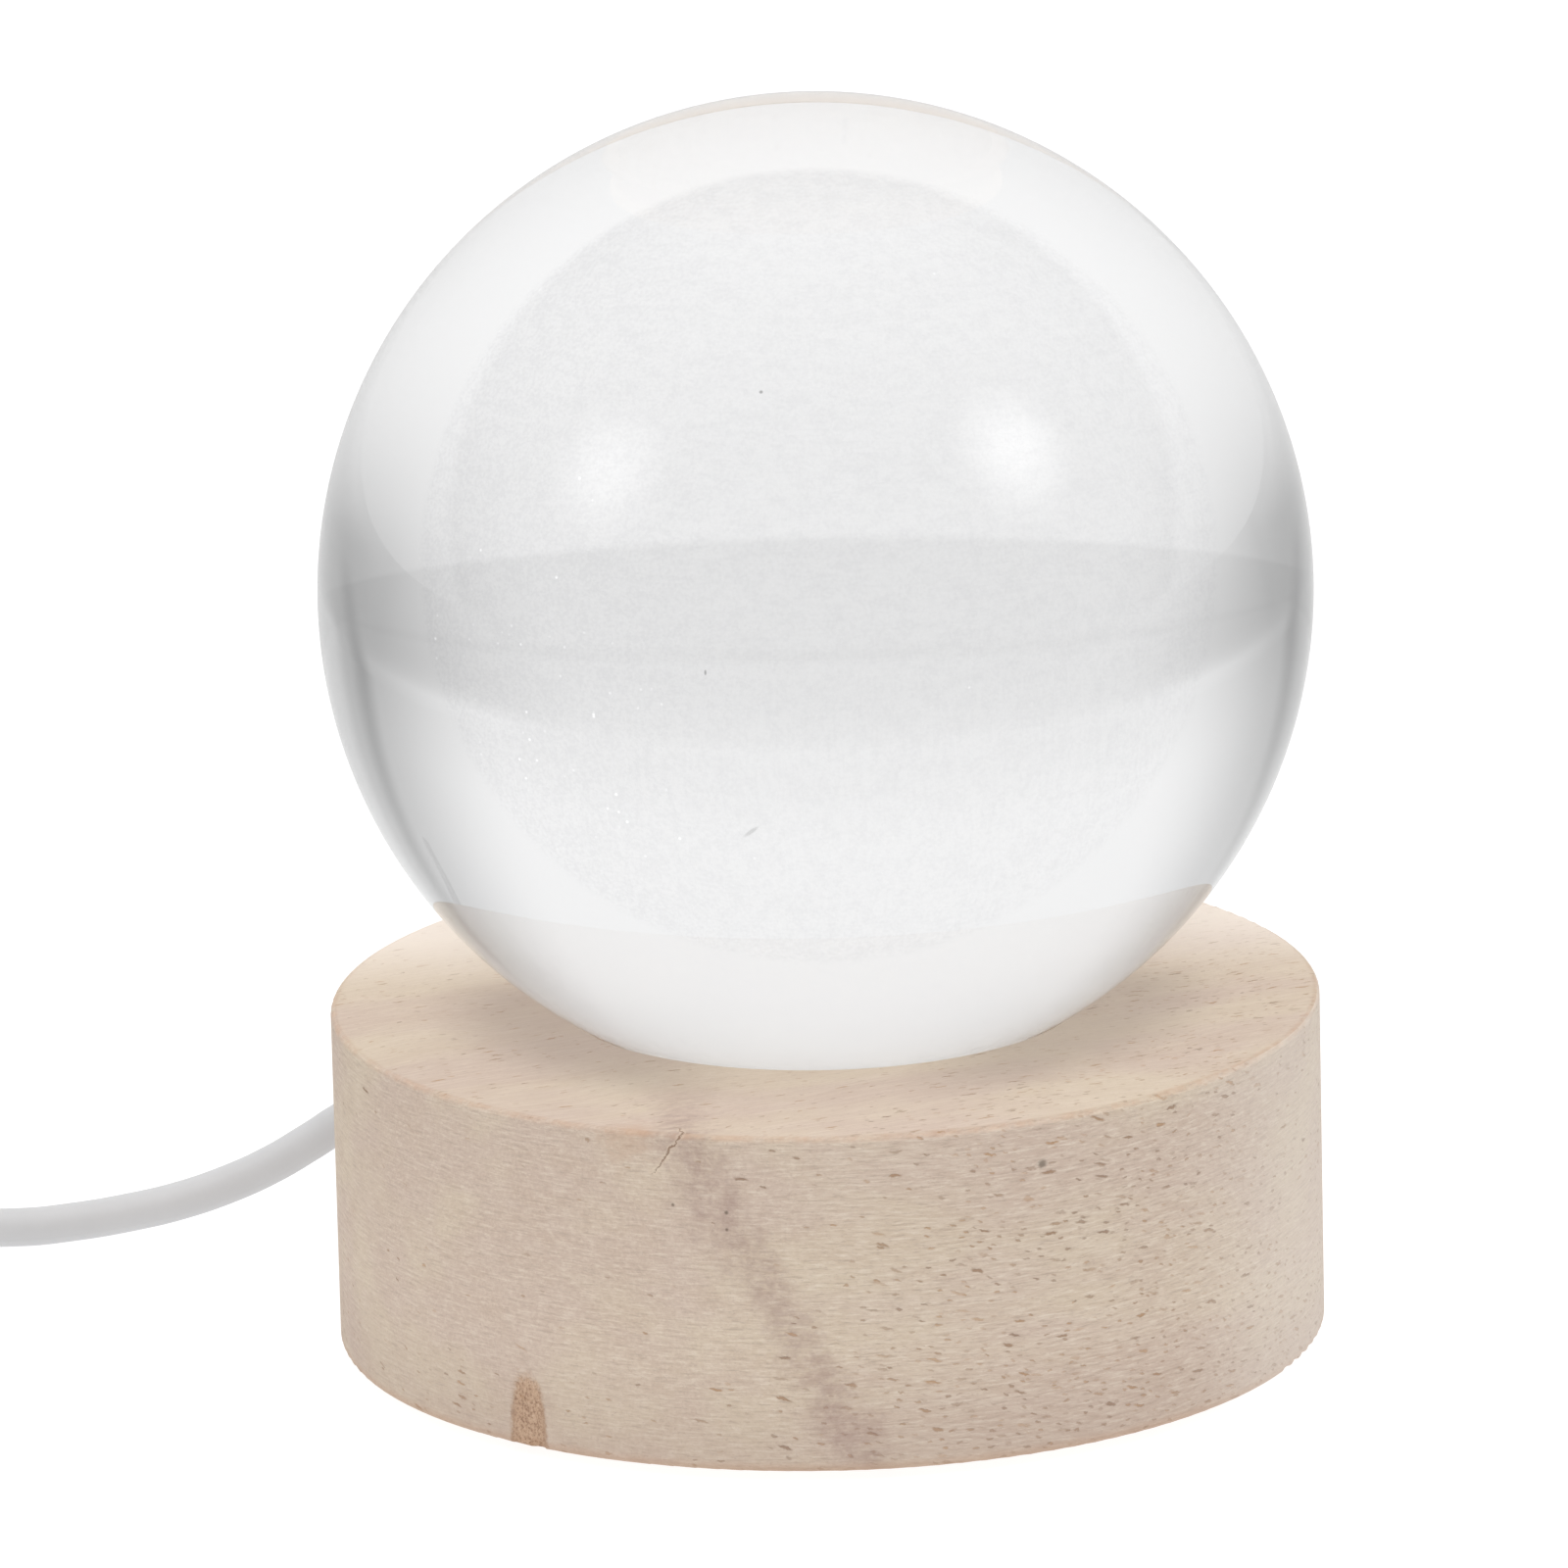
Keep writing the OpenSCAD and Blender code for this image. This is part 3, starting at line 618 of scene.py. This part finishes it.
gather = noise(tree, stretched(tree, place, (1, 1, 1.4)), 0.07, 2.0)
to_right = step(tree, X, -12, 18)
to_foot = step(tree, Z, 13, 3, 0, 0.25)
here = calc(tree, "ADD", calc(tree, "MULTIPLY_ADD", to_right, 0.55, to_foot), 0.04)
crowding = calc(tree, "MULTIPLY", here, step(tree, gather, 0.35, 0.6, 0.45, 1.3))
crowding = calc(tree, "MAXIMUM", crowding, calc(tree, "MULTIPLY", on_top, 0.25))
large_pores, large_pick = pores(0.85, 4.8, 0.125, crowding)
small_pores = pores(1.6, 3.0, 0.18, crowding)[0]
pore = calc(tree, "MAXIMUM", large_pores, calc(tree, "MULTIPLY", small_pores, 0.8))
pore_tone = mixed(tree, large_pick, rgb(0.50, 0.27, 0.12), rgb(0.25, 0.14, 0.08))
pored = mixed(tree, calc(tree, "MULTIPLY", pore, 0.74), toned, pore_tone)

# %% [markdown]
# ## The marks of this blank
# The darker band leans across the front. It is a slab that slants through the block, so it is a
# distance from a plane, widened and broken up by noise. The knot is an arch that stands on the
# lower edge, and the crack is a thin jagged line that starts at the rim. Both are measured from a
# place on the wood in millimetres, so they stay there at every angle of view.

# %% Wood: the slanting band
def slab(lean, offset, half_width, soft):
    """How far inside a slanting slab a point is; lean is millimetres of X for one of Z."""
    slanted = calc(tree, "MULTIPLY_ADD", Z, lean, X)
    ragged = calc(tree, "MULTIPLY_ADD", noise(tree, place, 0.3, 5.0, 0.7), 8.0, slanted)
    away = calc(tree, "ABSOLUTE", calc(tree, "SUBTRACT", ragged, offset))
    return step(tree, away, half_width, half_width + soft, 1, 0)


in_front = step(tree, Y, -34, -22, 1, 0)
patchy = noise(tree, stretched(tree, along, (0.4, 1, 1)), 1.1, 4.0, 0.7)
mottle = step(tree, patchy, 0.34, 0.64, 0.25, 1)
ragged_front = calc(tree, "MULTIPLY", in_front, mottle)
band = calc(tree, "MULTIPLY", slab(0.53, 7.6, 0.2, 3.6), ragged_front)
banded = mixed(tree, calc(tree, "MULTIPLY", band, 0.52), pored, rgb(0.36, 0.23, 0.2))
second = calc(tree, "MULTIPLY", slab(0.9, -23.0, 0.6, 4.0), ragged_front)
banded = mixed(tree, calc(tree, "MULTIPLY", second, 0.26), banded, rgb(0.46, 0.33, 0.29))
BLUSH_PLACE = (-15.6, -36.9, 28.0)
blush_far = put(tree, "VectorMath", {0: place, 1: BLUSH_PLACE}, operation="DISTANCE")
ragged_far = calc(tree, "MULTIPLY_ADD", mottle, -2.2, blush_far.outputs["Value"])
blush = step(tree, ragged_far, -1.2, 2.0, 0.24, 0)
banded = mixed(tree, blush, banded, rgb(0.52, 0.27, 0.15))

# %% [markdown]
# ## Edges, tone, and painted shade and light
# A thin warmer line runs along the lower edge and along the rim. Height alone finds the lower one,
# and height with the distance from the centre finds the rim. The back of the top face is paler
# sapwood. The top is painted darker close to the ball, a painted shade for the light that the ball
# keeps away, and the foot of the flank is painted darker too, as painted shade. The right side of
# the flank is painted lighter, as painted light.

# %% Wood: edges
across = calc(tree, "SQRT", calc(tree, "ADD", calc(tree, "POWER", X, 2.0),
                                 calc(tree, "POWER", Y, 2.0)))
ragged_edge = noise(tree, place, 0.5, 3.0, 0.7)
foot_line = step(tree, Z, WOOD_LOW + 0.1, WOOD_LOW + 1.1, 0.5, 0)
rim = calc(tree, "MULTIPLY", step(tree, Z, WOOD_HIGH - 0.55, WOOD_HIGH - 0.2),
           step(tree, across, 39.2, 39.8))
rim = calc(tree, "MULTIPLY", rim, step(tree, ragged_edge, 0.35, 0.65, 0.05, 0.4))
edged = mixed(tree, calc(tree, "MAXIMUM", foot_line, rim), banded, rgb(0.62, 0.38, 0.24))

# %% Wood: sapwood, painted shade and painted light
paler = calc(tree, "MULTIPLY", on_top, step(tree, Y, 2, 22, 0, 0.8))
edged = mixed(tree, paler, edged, rgb(0.93, 0.83, 0.74))
# Painted shade: the top is painted darker beside the ball, but not behind it.
to_sides = step(tree, calc(tree, "ABSOLUTE", X), 4, 16)
painted_shade_beside_ball = calc(tree, "MULTIPLY", step(tree, across, 34, 25), to_sides)
not_behind = calc(tree, "MULTIPLY", on_top, step(tree, Y, 10, 0))
painted_shade_beside_ball = calc(tree, "MULTIPLY", painted_shade_beside_ball, not_behind)
edged = mixed(tree, calc(tree, "MULTIPLY", painted_shade_beside_ball, 0.42), edged, rgb(0.30, 0.24, 0.2))
# Painted shade: the foot of the flank is painted darker.
edged = mixed(tree, step(tree, Z, 11, 1, 0, 0.24), edged, rgb(0.36, 0.25, 0.2))
# Painted light: the right side of the flank is painted lighter.
painted_light_right_side = calc(tree, "MULTIPLY", on_flank, step(tree, X, 26, 38, 0, 0.4))
edged = mixed(tree, painted_light_right_side, edged, rgb(0.86, 0.78, 0.7))

# %% Wood: the knot
KNOT_X, KNOT_FOOT, KNOT_HALF, KNOT_TALL = -24.1, 0.6, 1.55, 6.6
knot_off = calc(tree, "SUBTRACT", X, KNOT_X)
knot_x = calc(tree, "ABSOLUTE", calc(tree, "DIVIDE", knot_off, KNOT_HALF))
knot_z = calc(tree, "DIVIDE", calc(tree, "SUBTRACT", Z, KNOT_FOOT), KNOT_TALL)
knot_far = calc(tree, "ADD", calc(tree, "POWER", knot_x, 2.4),
                calc(tree, "POWER", calc(tree, "MAXIMUM", knot_z, 0.0), 3.0))
ragged = noise(tree, place, 1.6, 4.0, 0.7)
knot_far = calc(tree, "MULTIPLY_ADD", calc(tree, "SUBTRACT", ragged, 0.5), 0.9, knot_far)
knot = calc(tree, "MULTIPLY", step(tree, knot_far, 0.55, 1.1, 1, 0),
            calc(tree, "LESS_THAN", Y, -20.0))
speckle = noise(tree, stretched(tree, place, (1, 1, 0.8)), 4.2, 4.0, 0.8)
KNOT_DARK, KNOT_MIDDLE = rgb(0.24, 0.11, 0.05), rgb(0.56, 0.36, 0.23)
KNOT_PALE = rgb(0.75, 0.58, 0.43)
knot_tone = mixed(tree, step(tree, speckle, 0.36, 0.54), KNOT_DARK, KNOT_MIDDLE)
knot_tone = mixed(tree, step(tree, speckle, 0.56, 0.7, 0, 0.75), knot_tone, KNOT_PALE)
knot_sides = step(tree, knot_x, 0.45, 0.95, 0, 0.5)
knot_tone = mixed(tree, knot_sides, knot_tone, rgb(0.30, 0.16, 0.09))
knotted = mixed(tree, calc(tree, "MULTIPLY", knot, 0.82), edged, knot_tone)

# %% Wood: the crack
CRACK_TOP, CRACK_FOOT = (-11.3, 28.4), (-13.7, 25.0)
crack_slope = (CRACK_TOP[0] - CRACK_FOOT[0]) / (CRACK_TOP[1] - CRACK_FOOT[1])
jag = calc(tree, "MULTIPLY_ADD", noise(tree, place, 1.5, 5.0, 0.75), 1.3, -0.65)
crack_up = calc(tree, "SUBTRACT", Z, CRACK_FOOT[1])
crack_x = calc(tree, "MULTIPLY_ADD", crack_up, crack_slope, CRACK_FOOT[0])
crack_off = calc(tree, "ABSOLUTE", calc(tree, "ADD", calc(tree, "SUBTRACT", X, crack_x), jag))
crack_width = calc(tree, "MULTIPLY", step(tree, Z, CRACK_FOOT[1], CRACK_TOP[1] - 1.2, 0.02, 0.085),
                   step(tree, ragged, 0.3, 0.6, 0.4, 1.25))
crack_here = calc(tree, "MULTIPLY", calc(tree, "GREATER_THAN", crack_up, 0.0),
                  calc(tree, "LESS_THAN", Y, -36.6))
crack = calc(tree, "MULTIPLY", calc(tree, "LESS_THAN", crack_off, crack_width), crack_here)
lip = calc(tree, "MULTIPLY", step(tree, crack_off, 0.16, 0.42, 0.4, 0), crack_here)
lipped = mixed(tree, lip, knotted, rgb(0.80, 0.66, 0.52))
cracked = mixed(tree, calc(tree, "MULTIPLY", crack, 0.7), lipped, rgb(0.24, 0.12, 0.06))

# %% Wood: specks
SPECKS = [(-7.9, 22.2, 0.2), (-7.9, 20.8, 0.16), (-12.1, 22.6, 0.16), (17.0, 24.7, 0.42)]
speck = None
for speck_x, speck_z, speck_r in SPECKS:
    gap = calc(tree, "SQRT", calc(
        tree, "ADD",
        calc(tree, "POWER", calc(tree, "SUBTRACT", X, speck_x), 2.0),
        calc(tree, "POWER", calc(tree, "SUBTRACT", Z, speck_z), 2.0),
    ))
    frayed_gap = calc(tree, "MULTIPLY_ADD", calc(tree, "SUBTRACT", ragged, 0.5), speck_r, gap)
    dot = step(tree, frayed_gap, speck_r * 0.3, speck_r * 1.2, 1, 0)
    speck = dot if speck is None else calc(tree, "MAXIMUM", speck, dot)
speck = calc(tree, "MULTIPLY", speck, in_front)
wood_colour = mixed(tree, calc(tree, "MULTIPLY", speck, 0.7), cracked, rgb(0.12, 0.09, 0.06))
print("wood: knot, crack and", len(SPECKS), "specks made")

# %% Wood: surface
hollow = calc(tree, "MAXIMUM", calc(tree, "MULTIPLY", pore, 0.9), crack)
lines = calc(tree, "MULTIPLY_ADD", turned, 0.8, calc(tree, "MULTIPLY", fibre, 0.4))
relief = calc(tree, "SUBTRACT", calc(tree, "MULTIPLY_ADD", fuzz, 0.3, lines), hollow)
feed(tree, surface.inputs["Base Color"], wood_colour)
feed(tree, surface.inputs["Roughness"], step(tree, fibre, 0.2, 0.8, 0.62, 0.8))
feed(tree, surface.inputs["Normal"], bump(tree, relief, 0.06))
wear(wood, "wood_base")

# %% [markdown]
# ## The glass ball
# The solid ball becomes a new mesh, because clear glass shows every facet. A cube whose faces are
# divided into a fine grid and pushed out to the radius gives even cells with no poles, so nothing
# pinches at the top. Its centre and its radius come from the solid's box.

# %% Ball mesh
def round_ball(name, centre, radius, cells=72):
    shape = bmesh.new()
    bmesh.ops.create_cube(shape, size=2)
    bmesh.ops.subdivide_edges(shape, edges=shape.edges[:], cuts=cells - 1, use_grid_fill=True)
    for point in shape.verts:
        # Equal angles instead of equal lengths keep the cells even.
        even = Vector(math.tan(c * math.pi / 4) for c in point.co)
        point.co = even.normalized() * radius + centre
    mesh = bpy.data.meshes.new(name)
    shape.to_mesh(mesh)
    shape.free()
    mesh.polygons.foreach_set("use_smooth", [True] * len(mesh.polygons))
    made = bpy.data.objects.new(name, mesh)
    scene.collection.objects.link(made)
    return made


low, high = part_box("crystal_ball")
ball_centre = (low + high) / 2
ball_radius = (high.z - low.z) / 2
ball = round_ball("glass_ball", ball_centre, ball_radius)
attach(ball, "ball")
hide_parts("crystal_ball")
print("ball radius", round(ball_radius, 5), "centre height", round(ball_centre.z, 5))

# %% [markdown]
# ## Clear glass, handled and dusty
# Optical glass is nearly colourless. What makes it look real is on its skin: a fine film from the
# cloth that wiped it, scattered dust and a few small pits. The film alters the colour and the
# roughness only a little, because the far side of the ball is seen through it as through a
# magnifier, and every mark there looks about three times as large.

# %% Glass finish
FILM_WAY = Vector((0.02, -0.944, 0.33)).normalized()
FILM_EDGE = math.cos(math.radians(51.5))
BALL_R = 40.0
glass, tree, surface = finish(
    "clear_glass", IOR=1.52, Transmission_Weight=1.0, Emission_Strength=0.3
)
place = in_mm(tree)
from_centre = put(
    tree, "VectorMath", {0: place, 1: tuple(ball_centre / MM)}, operation="SUBTRACT"
).outputs[0]
facing = put(
    tree, "VectorMath", {0: from_centre, 1: tuple(FILM_WAY / BALL_R)}, operation="DOT_PRODUCT"
).outputs["Value"]
film = step(tree, facing, FILM_EDGE - 0.012, FILM_EDGE + 0.012)
parts = put(tree, "SeparateXYZ", {0: place}).outputs
threads = noise(tree, stretched(tree, place, (1, 1, 0.12)), 2.2, 3.0, 0.7)
strokes = noise(tree, stretched(tree, place, (0.16, 0.16, 1)), 1.9, 3.0, 0.7)
mottled = noise(tree, place, 0.75, 4.0, 0.7)
grain = noise(tree, place, 3.0, 2.0, 0.6)
high_up = step(tree, parts[2], 56, 72)
lines = calc(tree, "ADD", calc(tree, "MULTIPLY", strokes, high_up),
             calc(tree, "MULTIPLY", threads, calc(tree, "SUBTRACT", 1.0, high_up)))
haze = calc(tree, "MULTIPLY_ADD", step(tree, mottled, 0.4, 0.66), 0.45,
            calc(tree, "MULTIPLY", step(tree, lines, 0.42, 0.66), 0.3))
leftwards = step(tree, parts[0], -2, -22)
gritty = calc(tree, "MULTIPLY_ADD", leftwards, 0.35, 0.3)
grit = calc(tree, "MULTIPLY", step(tree, grain, 0.38, 0.66), gritty)
haze = calc(tree, "MULTIPLY", calc(tree, "ADD", grit, haze), film)

# %% Glass: dust
DUSTY_HEIGHT = 58.0
speck_cells = put(tree, "TexVoronoi", {"Vector": place, "Scale": 1.0})
speck_picks = put(tree, "SeparateColor", {0: speck_cells.outputs["Color"]}).outputs
height_off = calc(tree, "ABSOLUTE", calc(tree, "SUBTRACT", parts[2], DUSTY_HEIGHT))
mid_height = step(tree, height_off, 5, 17, 1, 0.05)
dusty = calc(tree, "MULTIPLY", leftwards, mid_height)
dusty = calc(tree, "MULTIPLY", dusty, step(tree, mottled, 0.4, 0.55))
dust_share = calc(tree, "MULTIPLY_ADD", dusty, 0.85, 0.012)
glowing_dust = calc(
    tree, "MULTIPLY",
    step(tree, speck_cells.outputs["Distance"], 0.05, 0.17, 1, 0),
    calc(tree, "LESS_THAN", speck_picks[0], dust_share),
)
dust_weight = step(tree, speck_picks[1], 0, 1, 0.3, 1)
glowing_dust = calc(tree, "MULTIPLY", calc(tree, "MULTIPLY", glowing_dust, film), dust_weight)

# %% [markdown]
# ## Three small marks
# Two dark specks and one short scratch sit on the ball's front. Each is a place on the glass in
# millimetres. The scratch is a speck whose coordinates are turned and then squeezed along one
# direction, which draws the disc out to a line. Dust is white, and transparent glass can only be
# darkened by its colour, so a weak emission lifts the dust: the dust glows, as painted light.

# %% Glass marks
def mark(centre, scale, turn=0.0):
    """1 at centre and 0 a millimetre away, in coordinates stretched by scale."""
    local = put(tree, "VectorMath", {0: place, 1: centre}, operation="SUBTRACT").outputs[0]
    turned_local = stretched(tree, local, (1, 1, 1), (0, turn, 0))
    squeezed = stretched(tree, turned_local, scale)
    away = put(tree, "VectorMath", {0: squeezed}, operation="LENGTH").outputs["Value"]
    return step(tree, away, 0.4, 1.0, 1, 0)


round_speck = mark((-3.68, -31.5, 86.63), (5, 5, 5))
long_speck = mark((-8.47, -38.9, 66.1), (8, 8, 3.4))
scratch = mark((-5.22, -38.58, 53.06), (1.05, 0.6, 4.4), math.radians(38))
specks = calc(tree, "MULTIPLY", calc(tree, "MAXIMUM", round_speck, long_speck), 0.85)
marked = calc(tree, "MAXIMUM", calc(tree, "MULTIPLY", scratch, 0.45), specks)
film_tone = mixed(tree, haze, rgb(0.996, 0.997, 1.0), rgb(0.872, 0.873, 0.885))
feed(tree, surface.inputs["Base Color"], mixed(tree, marked, film_tone, rgb(0.16, 0.16, 0.15)))
feed(tree, surface.inputs["Roughness"], step(tree, haze, 0, 1, 0.0, 0.05))
# The dust glows: painted light that makes it look white.
feed(tree, surface.inputs["Emission Color"], mixed(tree, glowing_dust, rgb(0, 0, 0), rgb(1, 1, 1)))
ball.data.materials.append(glass)
ball.visible_shadow = False

# %% [markdown]
# ## The studio
# Clear glass shows only what is round it, and a white room alone would make it vanish. So the
# ball's shapes come from the room: a white table with a greyer strip at its back, a wall behind it
# that fades to grey at both sides, two darker corners, and two soft lamps in front. The room in
# front is dim for light that has gone through the glass and dark for the mirror image on its skin,
# which gives the ball a soft inner ring. The camera itself sees plain white. A Light Path node
# tells each kind of ray apart, so one floor and one world serve the view, the glass and the wood.

# %% Room helpers
ROOM_LEAN = 0.04
CORNER_SHARE = 0.88


def sideways(tree, place):
    """How far a place or direction is to one side, 0 to 1, and its level distance."""
    level = put(tree, "VectorMath", {0: place, 1: (1, 1, 0)}, operation="MULTIPLY").outputs[0]
    reach = put(tree, "VectorMath", {0: level}, operation="LENGTH").outputs["Value"]
    parts = put(tree, "SeparateXYZ", {0: place}).outputs
    lean = calc(tree, "ADD", calc(tree, "DIVIDE", parts[0], reach), ROOM_LEAN)
    return calc(tree, "ABSOLUTE", lean), reach, parts


def corner_post(tree, share):
    """1 in a corner of the room and 0 beside it."""
    off = calc(tree, "ABSOLUTE", calc(tree, "SUBTRACT", share, CORNER_SHARE))
    return step(tree, off, 0.0, 0.05, 1, 0)


def dimmed(tree, light, mask, amount):
    """The light, less this share of it where the mask is 1."""
    return calc(tree, "MULTIPLY", light, calc(tree, "MULTIPLY_ADD", mask, -amount, 1.0))


def wall_tone(tree, share, height):
    """How light the wall is by how far to the side and how high up one looks."""
    side = step(tree, share, 0.5, 0.95, 1, 0.5)
    side = calc(tree, "ADD", side, step(tree, share, 0.93, 0.99, 0, 0.2))
    side = dimmed(tree, side, corner_post(tree, share), 0.3)
    low_down = step(tree, height, 0.55, 0.85, 1, 0)
    side_loss = calc(tree, "MULTIPLY", calc(tree, "SUBTRACT", 1.0, side), low_down)
    return dimmed(tree, step(tree, height, -0.02, 0.13, 0.885, 0.93), side_loss, 1.0)


# %% [markdown]
# ## The table
# The table is one large sheet. To the glass it is a lamp of its own, whose strength depends on the
# place: full near the base, a greyer strip that starts a hand's width behind it, a faint seam, and
# a slow fade into the wall's tone. Round shapes in the glass need these soft changes, and one
# sheet with a strength that varies leaves no hard edges where two lamps would meet.

# %% Floor
def stage_sheet(name, size, place, facing=(0, 0, 1)):
    mesh = bpy.data.meshes.new(name)
    w, h = size[0] / 2, size[1] / 2
    mesh.from_pydata([(-w, -h, 0), (w, -h, 0), (w, h, 0), (-w, h, 0)], [], [(0, 1, 2, 3)])
    sheet = bpy.data.objects.new(name, mesh)
    turn = Vector(facing).to_track_quat("Z", "Y").to_matrix().to_4x4()
    sheet.matrix_world = Matrix.Translation(place) @ turn
    scene.collection.objects.link(sheet)
    return sheet


floor_finish, tree, surface = finish(
    "studio_floor", Roughness=0.9, Emission_Color=rgb(1, 1, 1), Emission_Strength=0.86
)
place = put(tree, "NewGeometry").outputs["Position"]
paper = noise(tree, place, 40.0)
paper_tone = mixed(tree, paper, rgb(0.28, 0.28, 0.28), rgb(0.3, 0.3, 0.3))
feed(tree, surface.inputs["Base Color"], paper_tone)

# %% Light from the table
STRIP_BACK, SEAM_BACK = 0.192, 0.33
share, reach, parts = sideways(tree, place)
light = step(tree, reach, 0.08, 0.17, 0.98, 0.91)
side_fade = calc(tree, "MULTIPLY", step(tree, share, 0.3, 0.92), step(tree, reach, 0.07, 0.25))
light = dimmed(tree, light, side_fade, 0.52)
light = dimmed(tree, light, step(tree, parts[1], STRIP_BACK, STRIP_BACK + 0.008), 0.085)
seam_off = calc(tree, "ABSOLUTE", calc(tree, "SUBTRACT", parts[1], SEAM_BACK))
light = dimmed(tree, light, step(tree, seam_off, 0.0, 0.03, 1, 0), 0.03)
far_corner = calc(tree, "MULTIPLY", corner_post(tree, share), step(tree, reach, 0.2, 0.4))
light = dimmed(tree, light, far_corner, 0.18)
light = between(tree, step(tree, reach, 0.4, 1.5), light, wall_tone(tree, share, 0.0))
ray = put(tree, "LightPath").outputs
front_fade = step(tree, parts[1], -0.12, -0.45)
glass_light = dimmed(tree, light, front_fade, 0.65)
glow_light = between(tree, ray["Is Diffuse Ray"], glass_light, light)
table_glow = put(tree, "Emission", {"Strength": glow_light}).outputs[0]
floor_mix = put(tree, "MixShader", {0: ray["Is Camera Ray"], 1: table_glow, 2: surface.outputs[0]})
tree.links.new(floor_mix.outputs[0], tree.nodes["Material Output"].inputs[0])
FLOOR_SIDE = 6
floor = stage_sheet("floor", (FLOOR_SIDE, FLOOR_SIDE), (0, 0, 0))
floor.data.materials.append(floor_finish)
print("floor", FLOOR_SIDE, "m square")

# %% [markdown]
# ## Two soft lamps in front
# Each lamp shows as one soft round light on the ball's skin. A plain disc would have a hard edge,
# so each is a sheet that glows in its middle and turns clear towards its rim. Its direction is
# given from the ball's centre. The lamps light nothing but the glass; a large soft lamp overhead,
# which the glass doesn't see, lights the wood and the lead.

# %% Round soft lamps
LAMPS = [
    ("lamp_left", (-0.714, -0.457, 0.568), 2.6),
    ("lamp_right", (0.707, -0.429, 0.598), 3.3),
]
LAMP_REACH = 0.23
LAMP_AWAY = 0.75
for name, way, strength in LAMPS:
    way = Vector(way).normalized()
    lamp_glow = bpy.data.materials.new(name)
    lamp_glow.use_nodes = True
    tree = lamp_glow.node_tree
    tree.nodes.clear()
    spot = put(tree, "TexCoord").outputs["Object"]
    away = put(tree, "VectorMath", {0: spot}, operation="LENGTH")
    share = step(tree, away.outputs["Value"], 0.0, LAMP_REACH, 1, 0)
    light = put(tree, "Emission", {"Strength": strength}).outputs[0]
    clear = put(tree, "BsdfTransparent").outputs[0]
    soft_disc = put(tree, "MixShader", {0: share, 1: clear, 2: light}).outputs[0]
    put(tree, "OutputMaterial", {0: soft_disc})
    lamp = stage_sheet(name, (2 * LAMP_REACH, 2 * LAMP_REACH), ball_centre + way * LAMP_AWAY, -way)
    lamp.data.materials.append(lamp_glow)
    lamp.visible_camera = False
    lamp.visible_diffuse = False

# %% Overhead lamp
overhead = bpy.data.lights.new("overhead", "AREA")
overhead.size = 1.2
overhead.energy = 6.5
overhead_lamp = bpy.data.objects.new("overhead", overhead)
overhead_lamp.location = (0, -0.15, 1.0)
scene.collection.objects.link(overhead_lamp)
overhead_lamp.visible_camera = False
overhead_lamp.visible_glossy = False
overhead_lamp.visible_transmission = False

# %% [markdown]
# ## The room
# The world stands for the walls. It is the same wall tone as at the table's far edge, so no line
# shows where the table ends. Light that passes through the glass sees a wall that is dimmer in
# front, light mirrored on the skin sees a dark front, and the wood gets an even, slightly greyer
# room with paler sides.

# %% The room round the table
DARK_ROOM = 0.1
FRONT_ROOM = 0.32
world = bpy.data.worlds.new("white room")
scene.world = world
world.use_nodes = True
tree = world.node_tree
way = put(tree, "TexCoord").outputs["Generated"]
share, reach, parts = sideways(tree, way)
wall = wall_tone(tree, share, parts[2])
backwards = calc(tree, "MULTIPLY_ADD", parts[1], 1.3, calc(tree, "MULTIPLY", parts[2], -1.0))
mirrored_room = step(tree, backwards, -0.07, 0.07, DARK_ROOM, 0.95)
through_room = calc(tree, "MULTIPLY", wall, step(tree, parts[1], -0.5, -0.1, FRONT_ROOM, 1))
ray = put(tree, "LightPath").outputs
glass_sees = mixed(tree, ray["Is Reflection Ray"], through_room, mirrored_room)
wood_room = step(tree, calc(tree, "ABSOLUTE", parts[0]), 0.35, 1.0, 0.68, 0.95)
soft_sees = mixed(tree, ray["Is Diffuse Ray"], glass_sees, wood_room)
seen = mixed(tree, ray["Is Camera Ray"], soft_sees, rgb(1, 1, 1))
backdrop = tree.nodes["Background"]
feed(tree, backdrop.inputs["Color"], seen)
backdrop.inputs["Strength"].default_value = 1.0
scene.view_settings.view_transform = "Standard"
scene.view_settings.look = "None"

# %% [markdown]
# The coil, the switch and the plug lie outside the view. The ball would still bend a picture of
# them back into it, so the glass doesn't see them.

# %% Out of the glass's sight
CORD_NODES = frame["record"]["physics"]["cord_nodes"]
for out_of_sight in [long_lead] + [nodes[name] for name in CORD_NODES]:
    out_of_sight.visible_transmission = False
    out_of_sight.visible_glossy = False
print("studio ready")
